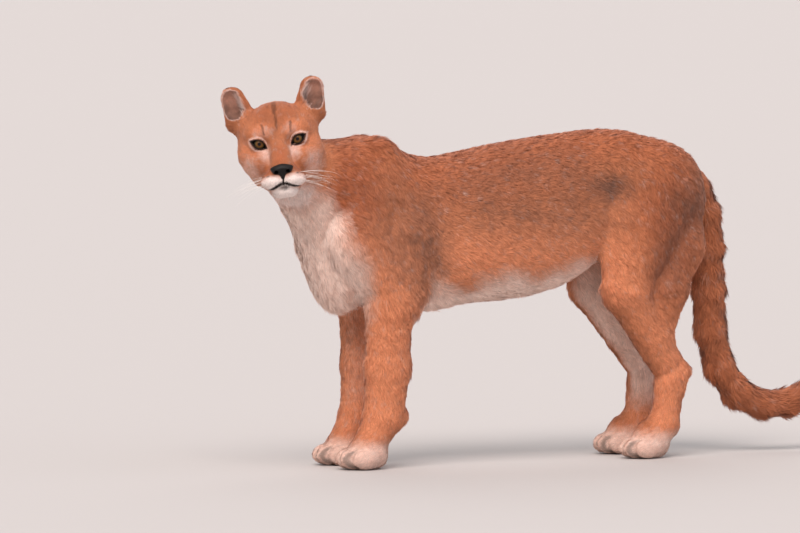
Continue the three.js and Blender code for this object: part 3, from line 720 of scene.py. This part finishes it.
def fur_material(name, grain_depth, bump):
    material, shader = new_material(name, Roughness=0.78, Sheen_Weight=0.12, Sheen_Roughness=0.5, IOR=1.4)
    shader.inputs["Specular IOR Level"].default_value = 0.25
    link = material.node_tree.links.new
    place = node(material, "ShaderNodeAttribute", attribute_name="place").outputs["Vector"]
    patches = node(material, "ShaderNodeTexNoise", {"Scale": 1 / RAGGED, "Detail": 4}, {"Vector": place})
    ragged = node(
        material, "ShaderNodeMath", {1: -0.5}, {0: patches.outputs["Fac"]}, operation="ADD",
    ).outputs[0]
    base, *marks = FUR
    colour = None
    for mark in marks:
        amount = node(material, "ShaderNodeAttribute", attribute_name=mark).outputs["Fac"]
        spread = node(
            material, "ShaderNodeMath", {1: 0.5}, {0: ragged, 2: amount}, operation="MULTIPLY_ADD",
        ).outputs[0]
        edge = node(
            material, "ShaderNodeMapRange", {"From Min": 0.04, "From Max": 0.96}, {"Value": spread},
        ).outputs[0]
        tint = node(material, "ShaderNodeMix", links={"Factor": edge}, data_type="RGBA")
        tint.inputs[COLOUR_B].default_value = linear(FUR[mark])
        if colour is None:
            tint.inputs[COLOUR_A].default_value = linear(FUR[base])
        else:
            link(colour, tint.inputs[COLOUR_A])
        colour = tint.outputs[COLOUR_OUT]
    # the shade level scales the colour; lower values on the skin and near the tufts' roots are painted
    # shade
    shade = node(material, "ShaderNodeAttribute", attribute_name="shade").outputs["Fac"]
    grain = node(
        material, "ShaderNodeTexNoise", {"Scale": 1 / GRAIN, "Detail": 2}, {"Vector": place},
    ).outputs["Fac"]
    light = node(
        material, "ShaderNodeMath", {1: grain_depth}, {0: grain, 2: shade}, operation="MULTIPLY_ADD",
    ).outputs[0]
    level = node(
        material, "ShaderNodeMapRange", {"To Min": 0.55, "To Max": 1.4}, {"Value": light},
    ).outputs[0]
    final = node(
        material, "ShaderNodeVectorMath", links={0: colour, "Scale": level}, operation="SCALE",
    ).outputs[0]
    link(final, shader.inputs["Base Color"])
    if bump:
        height = node(
            material, "ShaderNodeBump", {"Strength": bump, "Distance": 0.001}, {"Height": grain},
        ).outputs["Normal"]
        link(height, shader.inputs["Normal"])
    return material


# A piece made from points in millimetres and faces; the markings and painted shade become values at its
# points
def mesh_piece(name, points, faces, material, normals=None, marks=None, uv=None):
    mesh = bpy.data.meshes.new(name)
    size = faces.shape[1]
    mesh.vertices.add(len(points))
    mesh.vertices.foreach_set("co", metres(points).astype(np.float32).ravel())
    mesh.loops.add(faces.size)
    mesh.loops.foreach_set("vertex_index", faces.astype(np.int32).ravel())
    mesh.polygons.add(len(faces))
    mesh.polygons.foreach_set("loop_start", np.arange(0, faces.size, size, dtype=np.int32))
    mesh.update(calc_edges=True)
    for key, values in (marks or {}).items():
        wide = values.ndim == 2
        layer = mesh.attributes.new(key, "FLOAT_VECTOR" if wide else "FLOAT", "POINT")
        layer.data.foreach_set("vector" if wide else "value", values.astype(np.float32).ravel())
    if uv is not None:
        layer = mesh.uv_layers.new(name="OFBake")
        layer.uv.foreach_set("vector", uv[faces.ravel()].astype(np.float32).ravel())
    if normals is not None:
        mesh.normals_split_custom_set_from_vertices(normals.astype(np.float32))
    mesh.materials.append(material)
    made = bpy.data.objects.new(name, mesh)
    bpy.context.scene.collection.objects.link(made)
    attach(made, "root")
    return made


# Only the points that faces use, numbered anew
def used(points, normals, faces):
    kept, index = np.unique(faces, return_inverse=True)
    return points[kept], normals[kept], index.reshape(faces.shape)


# The skin: one hide from nose to tail, in place of the flesh solids. It shows between the tufts as the
# coat's shaded underside, so it carries the coat's own colours at a lower shade level, which is painted
# shade, with its grain raised by a bump.
# the skin's shade level, lower than the tufts', paints the shade under the coat
SKIN_SHADE = 0.2
skin_fur = fur_material("short_fur_on_skin", grain_depth=0.5, bump=0.5)
parts = [used(body_points, body_normals, body_quads), used(head_points, head_normals, head_quads)]
skin_points = np.concatenate([part[0] for part in parts])
skin_normals = np.concatenate([part[1] for part in parts])
skin_quads = np.concatenate([parts[0][2], parts[1][2] + len(parts[0][0])])
skin_marks = markings_and_shade(skin_points, skin_normals)
skin = mesh_piece(
    "skin", skin_points, skin_quads, skin_fur,
    marks={**skin_marks, "place": skin_points, "shade": np.full(len(skin_points), SKIN_SHADE)},
)
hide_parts(*[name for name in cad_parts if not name.startswith(("eye", "nose"))])

# The eyes: wet amber-brown globes with round pupils, greenish towards the rim, set deep under the brows.
# The cornea bulges a little in front. A thin clear coat stands for the tear film and its sharp highlight.
WORDS = {1: "left", -1: "right"}
EYE_RINGS = [0, 1.2, 2.3, 2.9, 3.6, 5, 6.5, 8, 9, 9.6, 10.4, 12, 14, 16, EYE_RADIUS]
EYE_BACK_RINGS = [110, 130, 150, 170]
EYE_TURNS = 48
IRIS = 10.2
CORNEA = 0.045  # the bulge's height, as a share of the globe's radius
EYE_PLAY = 0.2  # how far the globe lies inside its solid
IRIS_THREAD = 0.5
RAMP_END = 12  # the distance from the pupil's middle at the end of the colour ramp


def eye_globe(side):
    rings = [math.asin(r / EYE_RADIUS) for r in EYE_RINGS] + [math.radians(a) for a in EYE_BACK_RINGS]
    turns = np.linspace(0, 2 * math.pi, EYE_TURNS, endpoint=False)
    ring, turn = np.meshgrid(rings, turns, indexing="ij")
    ball = np.stack([np.cos(ring), np.sin(ring) * np.cos(turn), np.sin(ring) * np.sin(turn)], -1)
    ball = ball.reshape(-1, 3)
    on_iris = np.clip(1 - (np.sin(ring).ravel() * EYE_RADIUS / IRIS) ** 2, 0, 1) * (ball[:, 0] > 0)
    size = (EYE_RADIUS - EYE_PLAY) * (1 + CORNEA * on_iris)
    local = ball * size[:, None] + (-EYE_BACK, side * EYE_SPREAD, 0)
    index = np.arange(ring.size).reshape(ring.shape)
    index[0] = 0  # the front ring is a single point
    after = np.roll(index, -1, 1)
    halves = (index[:-1], index[1:], after[1:]), (index[:-1], after[1:], after[:-1])
    faces = np.concatenate([np.stack(half, -1).reshape(-1, 3) for half in halves])
    faces = faces[faces[:, 0] != faces[:, 2]]
    radial = np.hypot(local[:, 1] - side * EYE_SPREAD, local[:, 2])
    radial = np.where(ball[:, 0] > 0, radial, EYE_RADIUS)
    fibre = np.stack([turn.ravel() * 3, radial, 0 * radial], 1)
    return moved(head_pose, local), faces, {"radial": radial, "fibre": fibre}


# The iris lies under the film: threads about 0.5 mm wide run out from the pupil and break its colour up
iris, eye_shader = new_material(
    "tear_film_over_iris", Roughness=0.3, Coat_Weight=0.35, Coat_Roughness=0.02, IOR=1.38,
)
eye_shader.inputs["Specular IOR Level"].default_value = 0.15
distance = node(iris, "ShaderNodeAttribute", attribute_name="radial").outputs["Fac"]
fibre = node(iris, "ShaderNodeAttribute", attribute_name="fibre").outputs["Vector"]
threads = node(
    iris, "ShaderNodeTexNoise", {"Scale": 1 / IRIS_THREAD, "Detail": 5}, {"Vector": fibre},
).outputs["Fac"]
reach = node(
    iris, "ShaderNodeMath", {1: 0.9}, {0: threads, 2: distance}, operation="MULTIPLY_ADD",
).outputs[0]
scaled = node(iris, "ShaderNodeMath", {1: 1 / RAMP_END}, {0: reach}, operation="MULTIPLY").outputs[0]
bands = node(iris, "ShaderNodeValToRGB", links={"Fac": scaled})
ramp = bands.color_ramp.elements
ramp[0].color = linear("020101")
ramp[1].color = linear("100a08")
for at, code in (
    (0.25, "020101"), (0.3, "4a2c12"), (0.45, "704a20"),
    (0.62, "5c4624"), (0.76, "302814"), (0.84, "0d0806"),
):
    ramp.new(at).color = linear(code)
iris.node_tree.links.new(bands.outputs["Color"], eye_shader.inputs["Base Color"])
for side in SIDES:
    points, faces, marks = eye_globe(side)
    eye = mesh_piece(f"eyeball_{WORDS[side]}", points, faces, iris, marks=marks)
    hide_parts(f"eye_{WORDS[side]}")

# The nose leather: bare black-brown skin, pebbled at about a millimetre and always damp, with two
# comma-shaped nostrils whose slits run outward.
PEBBLE = 1.1
NOSE_CELL = 0.9
nostrils = [
    shape for s in SIDES for shape in (
        bone((77, s * 8, -58.5), (60, s * 14, -54), 4.2, 3.0),
        bone((70, s * 13, -60), (60, s * 22, -62), 2.4, 1.4),
    )
]


def nose_skin(p):
    d = nose_whole(p)
    for hole in nostrils:
        d = carve(d, hole(p), 1.6)
    groove = bone((77, 0, -52), (71, 0, -76), 1.0, 1.4)(p)
    return carve(d, groove, 2.0)


leather, nose_shader = new_material("damp_nose_leather", Roughness=0.5, IOR=1.45)
nose_shader.inputs["Specular IOR Level"].default_value = 0.3
spots = node(leather, "ShaderNodeAttribute", attribute_name="place").outputs["Vector"]
cells = node(leather, "ShaderNodeTexVoronoi", {"Scale": 1 / PEBBLE}, {"Vector": spots}).outputs["Distance"]
tones = node(leather, "ShaderNodeValToRGB", links={"Fac": cells})
tones.color_ramp.elements[0].color = linear("130c0b")
tones.color_ramp.elements[1].color = linear("080504")
pebbles = node(
    leather, "ShaderNodeBump", {"Strength": 0.5, "Distance": 0.0004}, {"Height": cells}, invert=True,
)
leather.node_tree.links.new(tones.outputs["Color"], nose_shader.inputs["Base Color"])
leather.node_tree.links.new(pebbles.outputs["Normal"], nose_shader.inputs["Normal"])
nose_local, nose_quads = surface(nose_skin, (40, -27, -82), (80, 27, -36), NOSE_CELL)
nose = mesh_piece(
    "nose_leather", moved(head_pose, nose_local), nose_quads, leather, marks={"place": nose_local},
)
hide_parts("nose")

# The lie of the coat: hair runs from the nose back over the head, along the spine to the tail, down the
# legs and forward over the toes. Each guide is a line on the animal and the way the hair runs there.
GUIDES = [
    ((110, 0, 500), (-640, 0, 530), (-1, 0, -0.1)),
    ((-650, 0, 590), (-690, 0, 550), (-0.7, 0, -0.7)),
    ((190, 20, 590), (60, 0, 540), (-1, -0.15, -0.25)),
    ((180, 30, 500), (90, 0, 330), (-0.45, 0, -1)),
]
for side in SIDES:
    GUIDES += [
        ((30, side * 80, 560), (0, side * 90, 360), (-0.55, 0, -1)),
        ((5, side * 60, 320), (10, side * 60, 90), (-0.15, 0, -1)),
        ((40, side * 60, 30), (110, side * 60, 20), (1, 0, -0.4)),
        ((-150, side * 90, 360), (-400, side * 80, 380), (-1, 0, -0.5)),
        ((-560, side * 80, 500), (-540, side * 80, 350), (-0.5, 0, -1)),
        ((-510, side * 74, 310), (-590, side * 64, 190), (-0.65, 0, -0.8)),
        ((-612, side * 62, 160), (-600, side * 62, 70), (0.05, 0, -1)),
        ((-560, side * 62, 30), (-500, side * 62, 20), (1, 0, -0.4)),
    ]
for (a, _), (b, _) in zip(TAIL, TAIL[1:]):
    GUIDES.append((a, b, tuple(np.subtract(b, a) / np.linalg.norm(np.subtract(b, a)))))
NOSE_TIP = np.array((72, 0, -48))


def lie(points, normals):
    total = np.zeros_like(points)
    for a, b, way in GUIDES:
        d = bone(a, b, 0, 0)(points.T)
        total += np.array(way) / np.linalg.norm(way) / (d[:, None] / 30 + 0.3) ** 4
    total = unit(total)
    h = moved(np.linalg.inv(head_pose), points)
    away = unit(h - NOSE_TIP)
    away[:, 2] += 0.35 * ease(10, 60, h[:, 2])
    for side in SIDES:
        ear = ear_pose(side)
        local = moved(np.linalg.inv(ear), h)
        on_ear = ease(2, 14, local[:, 2]) * ease(46, 36, np.abs(local[:, 0]))
        across = ease(-2, 4, local[:, 1])[:, None] * side * 0.5
        away = lerp(away, ear[:3, 2] - across * ear[:3, 0], on_ear[:, None])
    on_head = ease(-25, 15, beyond(HEAD_CUT, points))[:, None]
    total = lerp(total, turned(head_pose, unit(away)), on_head)
    total -= (total * normals).sum(1, keepdims=True) * normals
    return unit(total)


# The coat: tufts of hair rooted in the skin, laid along it and lifting a little at their tips. Each tuft
# is a slim leaf of two triangles, bent at its middle. They are smallest on the face and feet, longer on
# the trunk and shaggy on the belly, chest and tail. The lips, the nose and the lids' edges stay bare.
coat_fur = fur_material("tufted_fur", grain_depth=0.25, bump=0)
UV_PATCH = 0.0015  # half a tuft's width on the unwrap
UV_MARGIN = 0.02
TUFT_ROOT = 0.7  # how deep a tuft is set in the skin
TUFT_BEND = 0.45  # where along its length a tuft bends down again
FLOOR_PLAY = 0.3  # how high the lowest tips stay over the floor
rng = np.random.default_rng(11)
corners = skin_points[skin_quads]
diagonals = corners[:, 2:] - corners[:, :2]
face_area = 0.5 * np.linalg.norm(np.cross(diagonals[:, 0], diagonals[:, 1]), axis=1)
face_middle = corners.mean(1)
face_head = moved(np.linalg.inv(head_pose), face_middle)


# Which faces lie on one ear, and which points lie on the lips, the nose or the lids' edges
def near_ear(side):
    local = moved(np.linalg.inv(ear_pose(side)), face_head)
    return (local[:, 2] > 4) & (np.abs(local[:, 0]) < 36) & (np.abs(local[:, 1]) < 34)


def bare(points):
    h = moved(np.linalg.inv(head_pose), points).T
    away = np.minimum.reduce([shape(h) for shape in lips]) - 1.4
    away = np.minimum(away, nose_whole(h) - 1.2)
    for s in SIDES:
        away = np.minimum(away, np.where(np.abs(lids[s](h)) < 8, gaps[s](h) - 1.6, 9))
    return away < 0


# A place on an unwrap: once round the piece across the sheet, and from end to end up it
def sheet(turn, along):
    both = np.stack([turn / (2 * math.pi) + 0.5, np.clip(along, 0, 1)], 1)
    return UV_MARGIN + (1 - 2 * UV_MARGIN) * both


def cylinder_map(points, start, end, up):
    axis = np.subtract(end, start).astype(float)
    long = np.linalg.norm(axis)
    axis /= long
    across = np.cross(axis, up)
    across /= np.linalg.norm(across)
    over = np.cross(across, axis)
    q = points - start
    return sheet(np.arctan2(q @ across, q @ over), q @ axis / long)


def tail_map(points):
    best, along, turn = np.full(len(points), 1e9), np.zeros(len(points)), np.zeros(len(points))
    for i, ((a, _), (b, _)) in enumerate(zip(TAIL, TAIL[1:])):
        axis = np.subtract(b, a).astype(float)
        t = np.clip((points - a) @ axis / (axis @ axis), 0, 1)
        off = points - a - t[:, None] * axis
        far = np.linalg.norm(off, axis=1)
        nearer = far < best
        over = np.cross(axis / np.linalg.norm(axis), (0, 1, 0))
        best = np.where(nearer, far, best)
        along = np.where(nearer, (i + t) / (len(TAIL) - 1), along)
        turn = np.where(nearer, np.arctan2(off[:, 1], off @ over), turn)
    return sheet(turn, along)


def coat(name, faces, per_mm2, length, width, lift, slot, unwrap, wild=0.16):
    weight = face_area[faces] * per_mm2(face_middle[faces])
    count = int(weight.sum())
    chosen = faces[np.searchsorted(np.cumsum(weight) / weight.sum(), rng.random(count))]
    u, v = rng.random((2, count, 1))
    quad, lean = skin_points[skin_quads[chosen]], skin_normals[skin_quads[chosen]]
    root = lerp(lerp(quad[:, 0], quad[:, 1], u), lerp(quad[:, 3], quad[:, 2], u), v)
    normal = unit(lerp(lerp(lean[:, 0], lean[:, 1], u), lerp(lean[:, 3], lean[:, 2], u), v))
    furred = ~bare(root)
    root, normal = root[furred], normal[furred]
    count = len(root)
    way = lie(root, normal)
    side = np.cross(normal, way)
    swirl = waves(root.T, 34, 21) * 0.28 + waves(root.T, 9, 22) * 0.22
    swirl = swirl[:, None] + rng.normal(0, wild, (count, 1))
    way, side = way * np.cos(swirl) + side * np.sin(swirl), side * np.cos(swirl) - way * np.sin(swirl)
    ruffle = np.clip(0.5 + 0.5 * waves(root.T, 13, 23), 0, 1.4)
    long = (length(root) * rng.uniform(0.7, 1.2, count) * (0.85 + 0.3 * ruffle))[:, None]
    wide = (width(root) * rng.uniform(0.75, 1.25, count))[:, None]
    rise = (lift(root) * (0.6 + 0.8 * ruffle) * rng.uniform(0.6, 1.4, count))[:, None]
    base = root - TUFT_ROOT * normal
    middle = root + long * TUFT_BEND * (way * np.cos(rise) + normal * np.sin(rise))
    bend = rise * 0.35
    tip = middle + long * (1 - TUFT_BEND) * (way * np.cos(bend) + normal * np.sin(bend))
    roll = rng.normal(0, 0.35, (count, 1))
    flat = side * np.cos(roll) + normal * np.sin(roll)
    points = np.stack([base, middle - flat * wide / 2, middle + flat * wide / 2, tip], 1)
    points[:, :, 2] = np.maximum(points[:, :, 2], FLOOR_PLAY)
    first = np.arange(count)[:, None] * 4
    triangles = np.concatenate([first + (0, 1, 2), first + (1, 3, 2)])
    soft = unit(normal + 0.3 * flat * np.sin(roll) - 0.25 * way * rise)
    marks = markings_and_shade(root, normal)
    # shade level: random per tuft, higher where the coat ruffles, and darker at the root as painted shade
    shade = rng.normal(0.42, 0.13, count) + 0.1 * ruffle
    marks = {key: np.repeat(value, 4) for key, value in marks.items()}
    root_to_tip = np.tile((-0.1, 0.0, 0.0, 0.05), count)
    marks["shade"] = np.clip(np.repeat(shade, 4) + root_to_tip, 0, 1)
    marks["place"] = np.repeat(root, 4, 0)
    patch = np.array([(0, -1), (-1, 0), (1, 0), (0, 1)]) * UV_PATCH
    uv = (unwrap(root, normal)[:, None] + patch).reshape(-1, 2)
    made = mesh_piece(name, points.reshape(-1, 3), triangles, coat_fur, np.repeat(soft, 4, 0), marks, uv)


every = np.arange(len(skin_quads))
on_head = beyond(HEAD_CUT, face_middle) > 0
on_ear = {s: near_ear(s) & on_head for s in SIDES}
x, y, z = face_middle.T
on_tail = ~on_head & (x < -690) & ((z < 500) | (x < -712))
on_fore = ~on_head & (z < 300) & (x > -200)
on_hind = ~on_head & ~on_tail & (z < 330) & (x < -440)
on_trunk = ~on_head & ~on_tail & ~on_fore & ~on_hind


def level(value):
    return lambda p: np.full(len(p), float(value))


def body_length(p):
    belly = ease(360, 300, p[:, 2]) * ease(280, 290, p[:, 2])
    chest = ease(70, 110, p[:, 0]) * ease(520, 430, p[:, 2])
    return 15 + 10 * belly + 6 * chest + 2 * ease(560, 620, p[:, 2])


def face_back(p):
    return ease(20, -60, moved(np.linalg.inv(head_pose), p)[:, 0])


head_span = moved(head_pose, np.array([(-150, 0, 0), (80, 0, 0)]))
coat(
    "coat_head", every[on_head & ~on_ear[1] & ~on_ear[-1]],
    per_mm2=lambda p: lerp(1.25, 0.7, face_back(p)),
    length=lambda p: lerp(4.4, 9, face_back(p)),
    width=lambda p: lerp(0.55, 0.9, face_back(p)),
    lift=level(0.2), slot="coat", unwrap=lambda p, n: cylinder_map(p, *head_span, (0, 0, 1)), wild=0.12,
)


def ear_map(side):
    def unwrap(p, n):
        pose = head_pose @ ear_pose(side)
        local = moved(np.linalg.inv(pose), p)
        facing = turned(np.linalg.inv(pose), n)
        place = cylinder_map(local, (0, 0, -5), (0, 0, 75), (0, 1, 0))
        place[:, 0] = place[:, 0] / 2 + 0.5 * (facing[:, 1] > 0)
        return place

    return unwrap


def ear_length(side):
    def length(p):
        local = moved(np.linalg.inv(head_pose @ ear_pose(side)), p)
        inner = ease(2, 20, side * local[:, 0]) * ease(60, 40, local[:, 2])
        return 4.6 + 9 * ease(-2, 5, local[:, 1]) * inner

    return length


face_lean = turned(np.linalg.inv(head_pose), unit(skin_normals[skin_quads].mean(1)))
has_strands = ear_markings_and_shade(face_head.T, face_lean.T)[-1] > 0.25
for side in SIDES:
    coat(
        f"coat_ear_strands_{WORDS[side]}", every[on_ear[side] & has_strands],
        per_mm2=level(0.3), length=level(19), width=level(0.5), lift=level(0.5),
        slot="ear", unwrap=ear_map(side), wild=0.22,
    )
    coat(
        f"coat_ear_{WORDS[side]}", every[on_ear[side]],
        per_mm2=level(1.5), length=ear_length(side), width=level(0.5), lift=level(0.2),
        slot="ear", unwrap=ear_map(side), wild=0.1,
    )


def trunk_map(p, n):
    return cylinder_map(p, (240, 0, 470), (-700, 0, 490), (0, 0, 1))


STRETCHES = (
    # a stretch of the trunk, where it starts and ends along the animal, the slot of its fur
    ("neck", 58, 400, "coat"),
    ("shoulders", -110, 58, "coat"),
    ("ribs", -270, -110, "back"),
    ("loin", -430, -270, "back"),
    ("rump", -560, -430, "back"),
    ("haunch", -800, -560, "back"),
)
for word, start, end, slot in STRETCHES:
    coat(
        f"coat_{word}", every[on_trunk & (x >= start) & (x < end)],
        per_mm2=level(0.42), length=body_length, width=level(1.2), lift=level(0.16),
        slot=slot, unwrap=trunk_map,
    )


def leg_map(middle, side):
    foot, top = (middle, side * 62, -20), (middle, side * 62, 345)
    return lambda p, n: cylinder_map(p, top, foot, (1, 0, 0))


LEG_COAT = dict(
    per_mm2=lambda p: lerp(1.0, 0.5, ease(40, 110, p[:, 2])),
    length=lambda p: lerp(6, 12, ease(30, 160, p[:, 2])),
    width=lambda p: lerp(0.7, 1.15, ease(30, 160, p[:, 2])),
    lift=level(0.22), slot="coat",
)
for side in SIDES:
    mine = y * side > 0
    coat(f"coat_foreleg_{WORDS[side]}", every[on_fore & mine], unwrap=leg_map(15, side), **LEG_COAT)
    coat(f"coat_hindleg_{WORDS[side]}", every[on_hind & mine], unwrap=leg_map(-560, side), **LEG_COAT)
coat(
    "coat_tail", every[on_tail], per_mm2=level(0.42), length=level(24), width=level(1.5), lift=level(0.3),
    slot="tail", unwrap=lambda p, n: tail_map(p), wild=0.25,
)

# Whiskers: stiff tapered hairs, white and about 0.45 mm thick at the root, in four rows on each pad. They
# sweep outward and a little back and droop towards their tips. Thick keratin is smoother than the coat,
# which gives each whisker a fine gleam.
WHISKER_SIDES = 4
WHISKER_STEPS = 7
WHISKER_ROOT = 0.22
WHISKER_TIP = 0.06
hair, hair_shader = new_material("white_whisker_hair", Roughness=0.35, IOR=1.55)
hair_shader.inputs["Base Color"].default_value = linear("f3ece6")
whisker_points, whisker_faces = [], []
for side in SIDES:
    for f, l, u in WHISKERS:
        long = rng.uniform(38, 76)
        start = np.array((f - 4.0, side * (l - 2.5), u))
        way = np.array((rng.uniform(-0.25, 0.25), side, rng.uniform(-0.28, 0.12)))
        way /= np.linalg.norm(way)
        for step in range(WHISKER_STEPS):
            t = step / (WHISKER_STEPS - 1)
            middle = start + long * t * way + np.array((-16, 0, -14)) * t * t * long / 60
            radius = lerp(WHISKER_ROOT, WHISKER_TIP, t)
            for turn in range(WHISKER_SIDES):
                angle = 2 * math.pi * turn / WHISKER_SIDES
                whisker_points.append(middle + radius * np.array((math.cos(angle), 0, math.sin(angle))))
        first = len(whisker_points) - WHISKER_SIDES * WHISKER_STEPS
        for step in range(WHISKER_STEPS - 1):
            for turn in range(WHISKER_SIDES):
                ring = first + step * WHISKER_SIDES
                a, b = ring + turn, ring + (turn + 1) % WHISKER_SIDES
                whisker_faces.append((a, b, b + WHISKER_SIDES, a + WHISKER_SIDES))
whisker_points = moved(head_pose, np.array(whisker_points))
whiskers = mesh_piece("whiskers", whisker_points, np.array(whisker_faces), hair)

# The place it stands in: a level floor in pale matt paint, wide enough to run out of sight, whose tone
# drifts too slowly to show as a pattern. Everything here is in metres.
FLOOR_SIZE = 240
FLOOR_DRIFT = 3.0  # how many slow changes of tone cross the floor
bpy.ops.mesh.primitive_plane_add(size=FLOOR_SIZE)
floor = bpy.context.object
floor.name = "floor"
paint, floor_shader = new_material("matt_floor_paint", Roughness=0.9)
drift = node(paint, "ShaderNodeTexNoise", {"Scale": FLOOR_DRIFT, "Detail": 3}).outputs["Fac"]
wash = node(paint, "ShaderNodeValToRGB", links={"Fac": drift})
wash.color_ramp.elements[0].color = linear("b4b0ae")
wash.color_ramp.elements[1].color = linear("bab6b4")
paint.node_tree.links.new(wash.outputs["Color"], floor_shader.inputs["Base Color"])
floor.data.materials.append(paint)

# Studio light: an even pale surround, a broad warm key above the camera's side, a weak fill across it
# and a rim light from behind. Each lamp's disc is wide, so its shadows are soft.
world = bpy.data.worlds.new("studio")
bpy.context.scene.world = world
world.use_nodes = True
world.node_tree.nodes["Background"].inputs["Color"].default_value = linear("e6e4e6")
world.node_tree.nodes["Background"].inputs["Strength"].default_value = 0.75


def soft_light(name, place, power, spread, code):
    light = bpy.data.lights.new(name, "SUN")
    light.angle = math.radians(spread)
    light.energy = power
    light.color = linear(code)[:3]
    made = bpy.data.objects.new(name, light)
    made.rotation_euler = Vector(place).to_track_quat("Z", "Y").to_euler()
    bpy.context.scene.collection.objects.link(made)


soft_light("key", (0.6, 0.75, 1.2), 3.0, 40, "fff2ec")
soft_light("fill", (-0.8, 0.8, 0.7), 0.4, 70, "f4f2ff")
soft_light("rim", (-0.3, -0.9, 0.9), 0.8, 50, "ffffff")

# The camera: low in front of the left shoulder, with a long lens, so that the floor under the chest
# shows where it does in the picture.
FRAME_WIDTH = 800
FRAME_HEIGHT = 533
CHEST_PIXEL = (375, 466)
PIXEL = 0.0019  # a pixel's size at the animal
VIEW_TURN = math.radians(27)
VIEW_RISE = math.radians(3)
VIEW_FAR = 14
SENSOR = 36
flat_way = Vector((math.sin(VIEW_TURN), math.cos(VIEW_TURN), 0))
toward = flat_way * math.cos(VIEW_RISE) + Vector((0, 0, math.sin(VIEW_RISE)))
right = Vector((-math.cos(VIEW_TURN), math.sin(VIEW_TURN), 0))
over = toward.cross(right)
aim = Vector(SHIFT / 1000) + right * (FRAME_WIDTH / 2 - CHEST_PIXEL[0]) * PIXEL
aim += over * (CHEST_PIXEL[1] - FRAME_HEIGHT / 2) * PIXEL
camera = bpy.data.objects.new("camera", bpy.data.cameras.new("camera"))
bpy.context.scene.collection.objects.link(camera)
view = Matrix((right, over, toward)).transposed().to_4x4()
view.translation = aim + toward * VIEW_FAR
camera.matrix_world = view
camera.data.sensor_width = SENSOR
camera.data.lens = SENSOR * VIEW_FAR / (FRAME_WIDTH * PIXEL)
camera.data.clip_end = 200
bpy.context.scene.camera = camera
bpy.context.scene.view_settings.view_transform = "Standard"
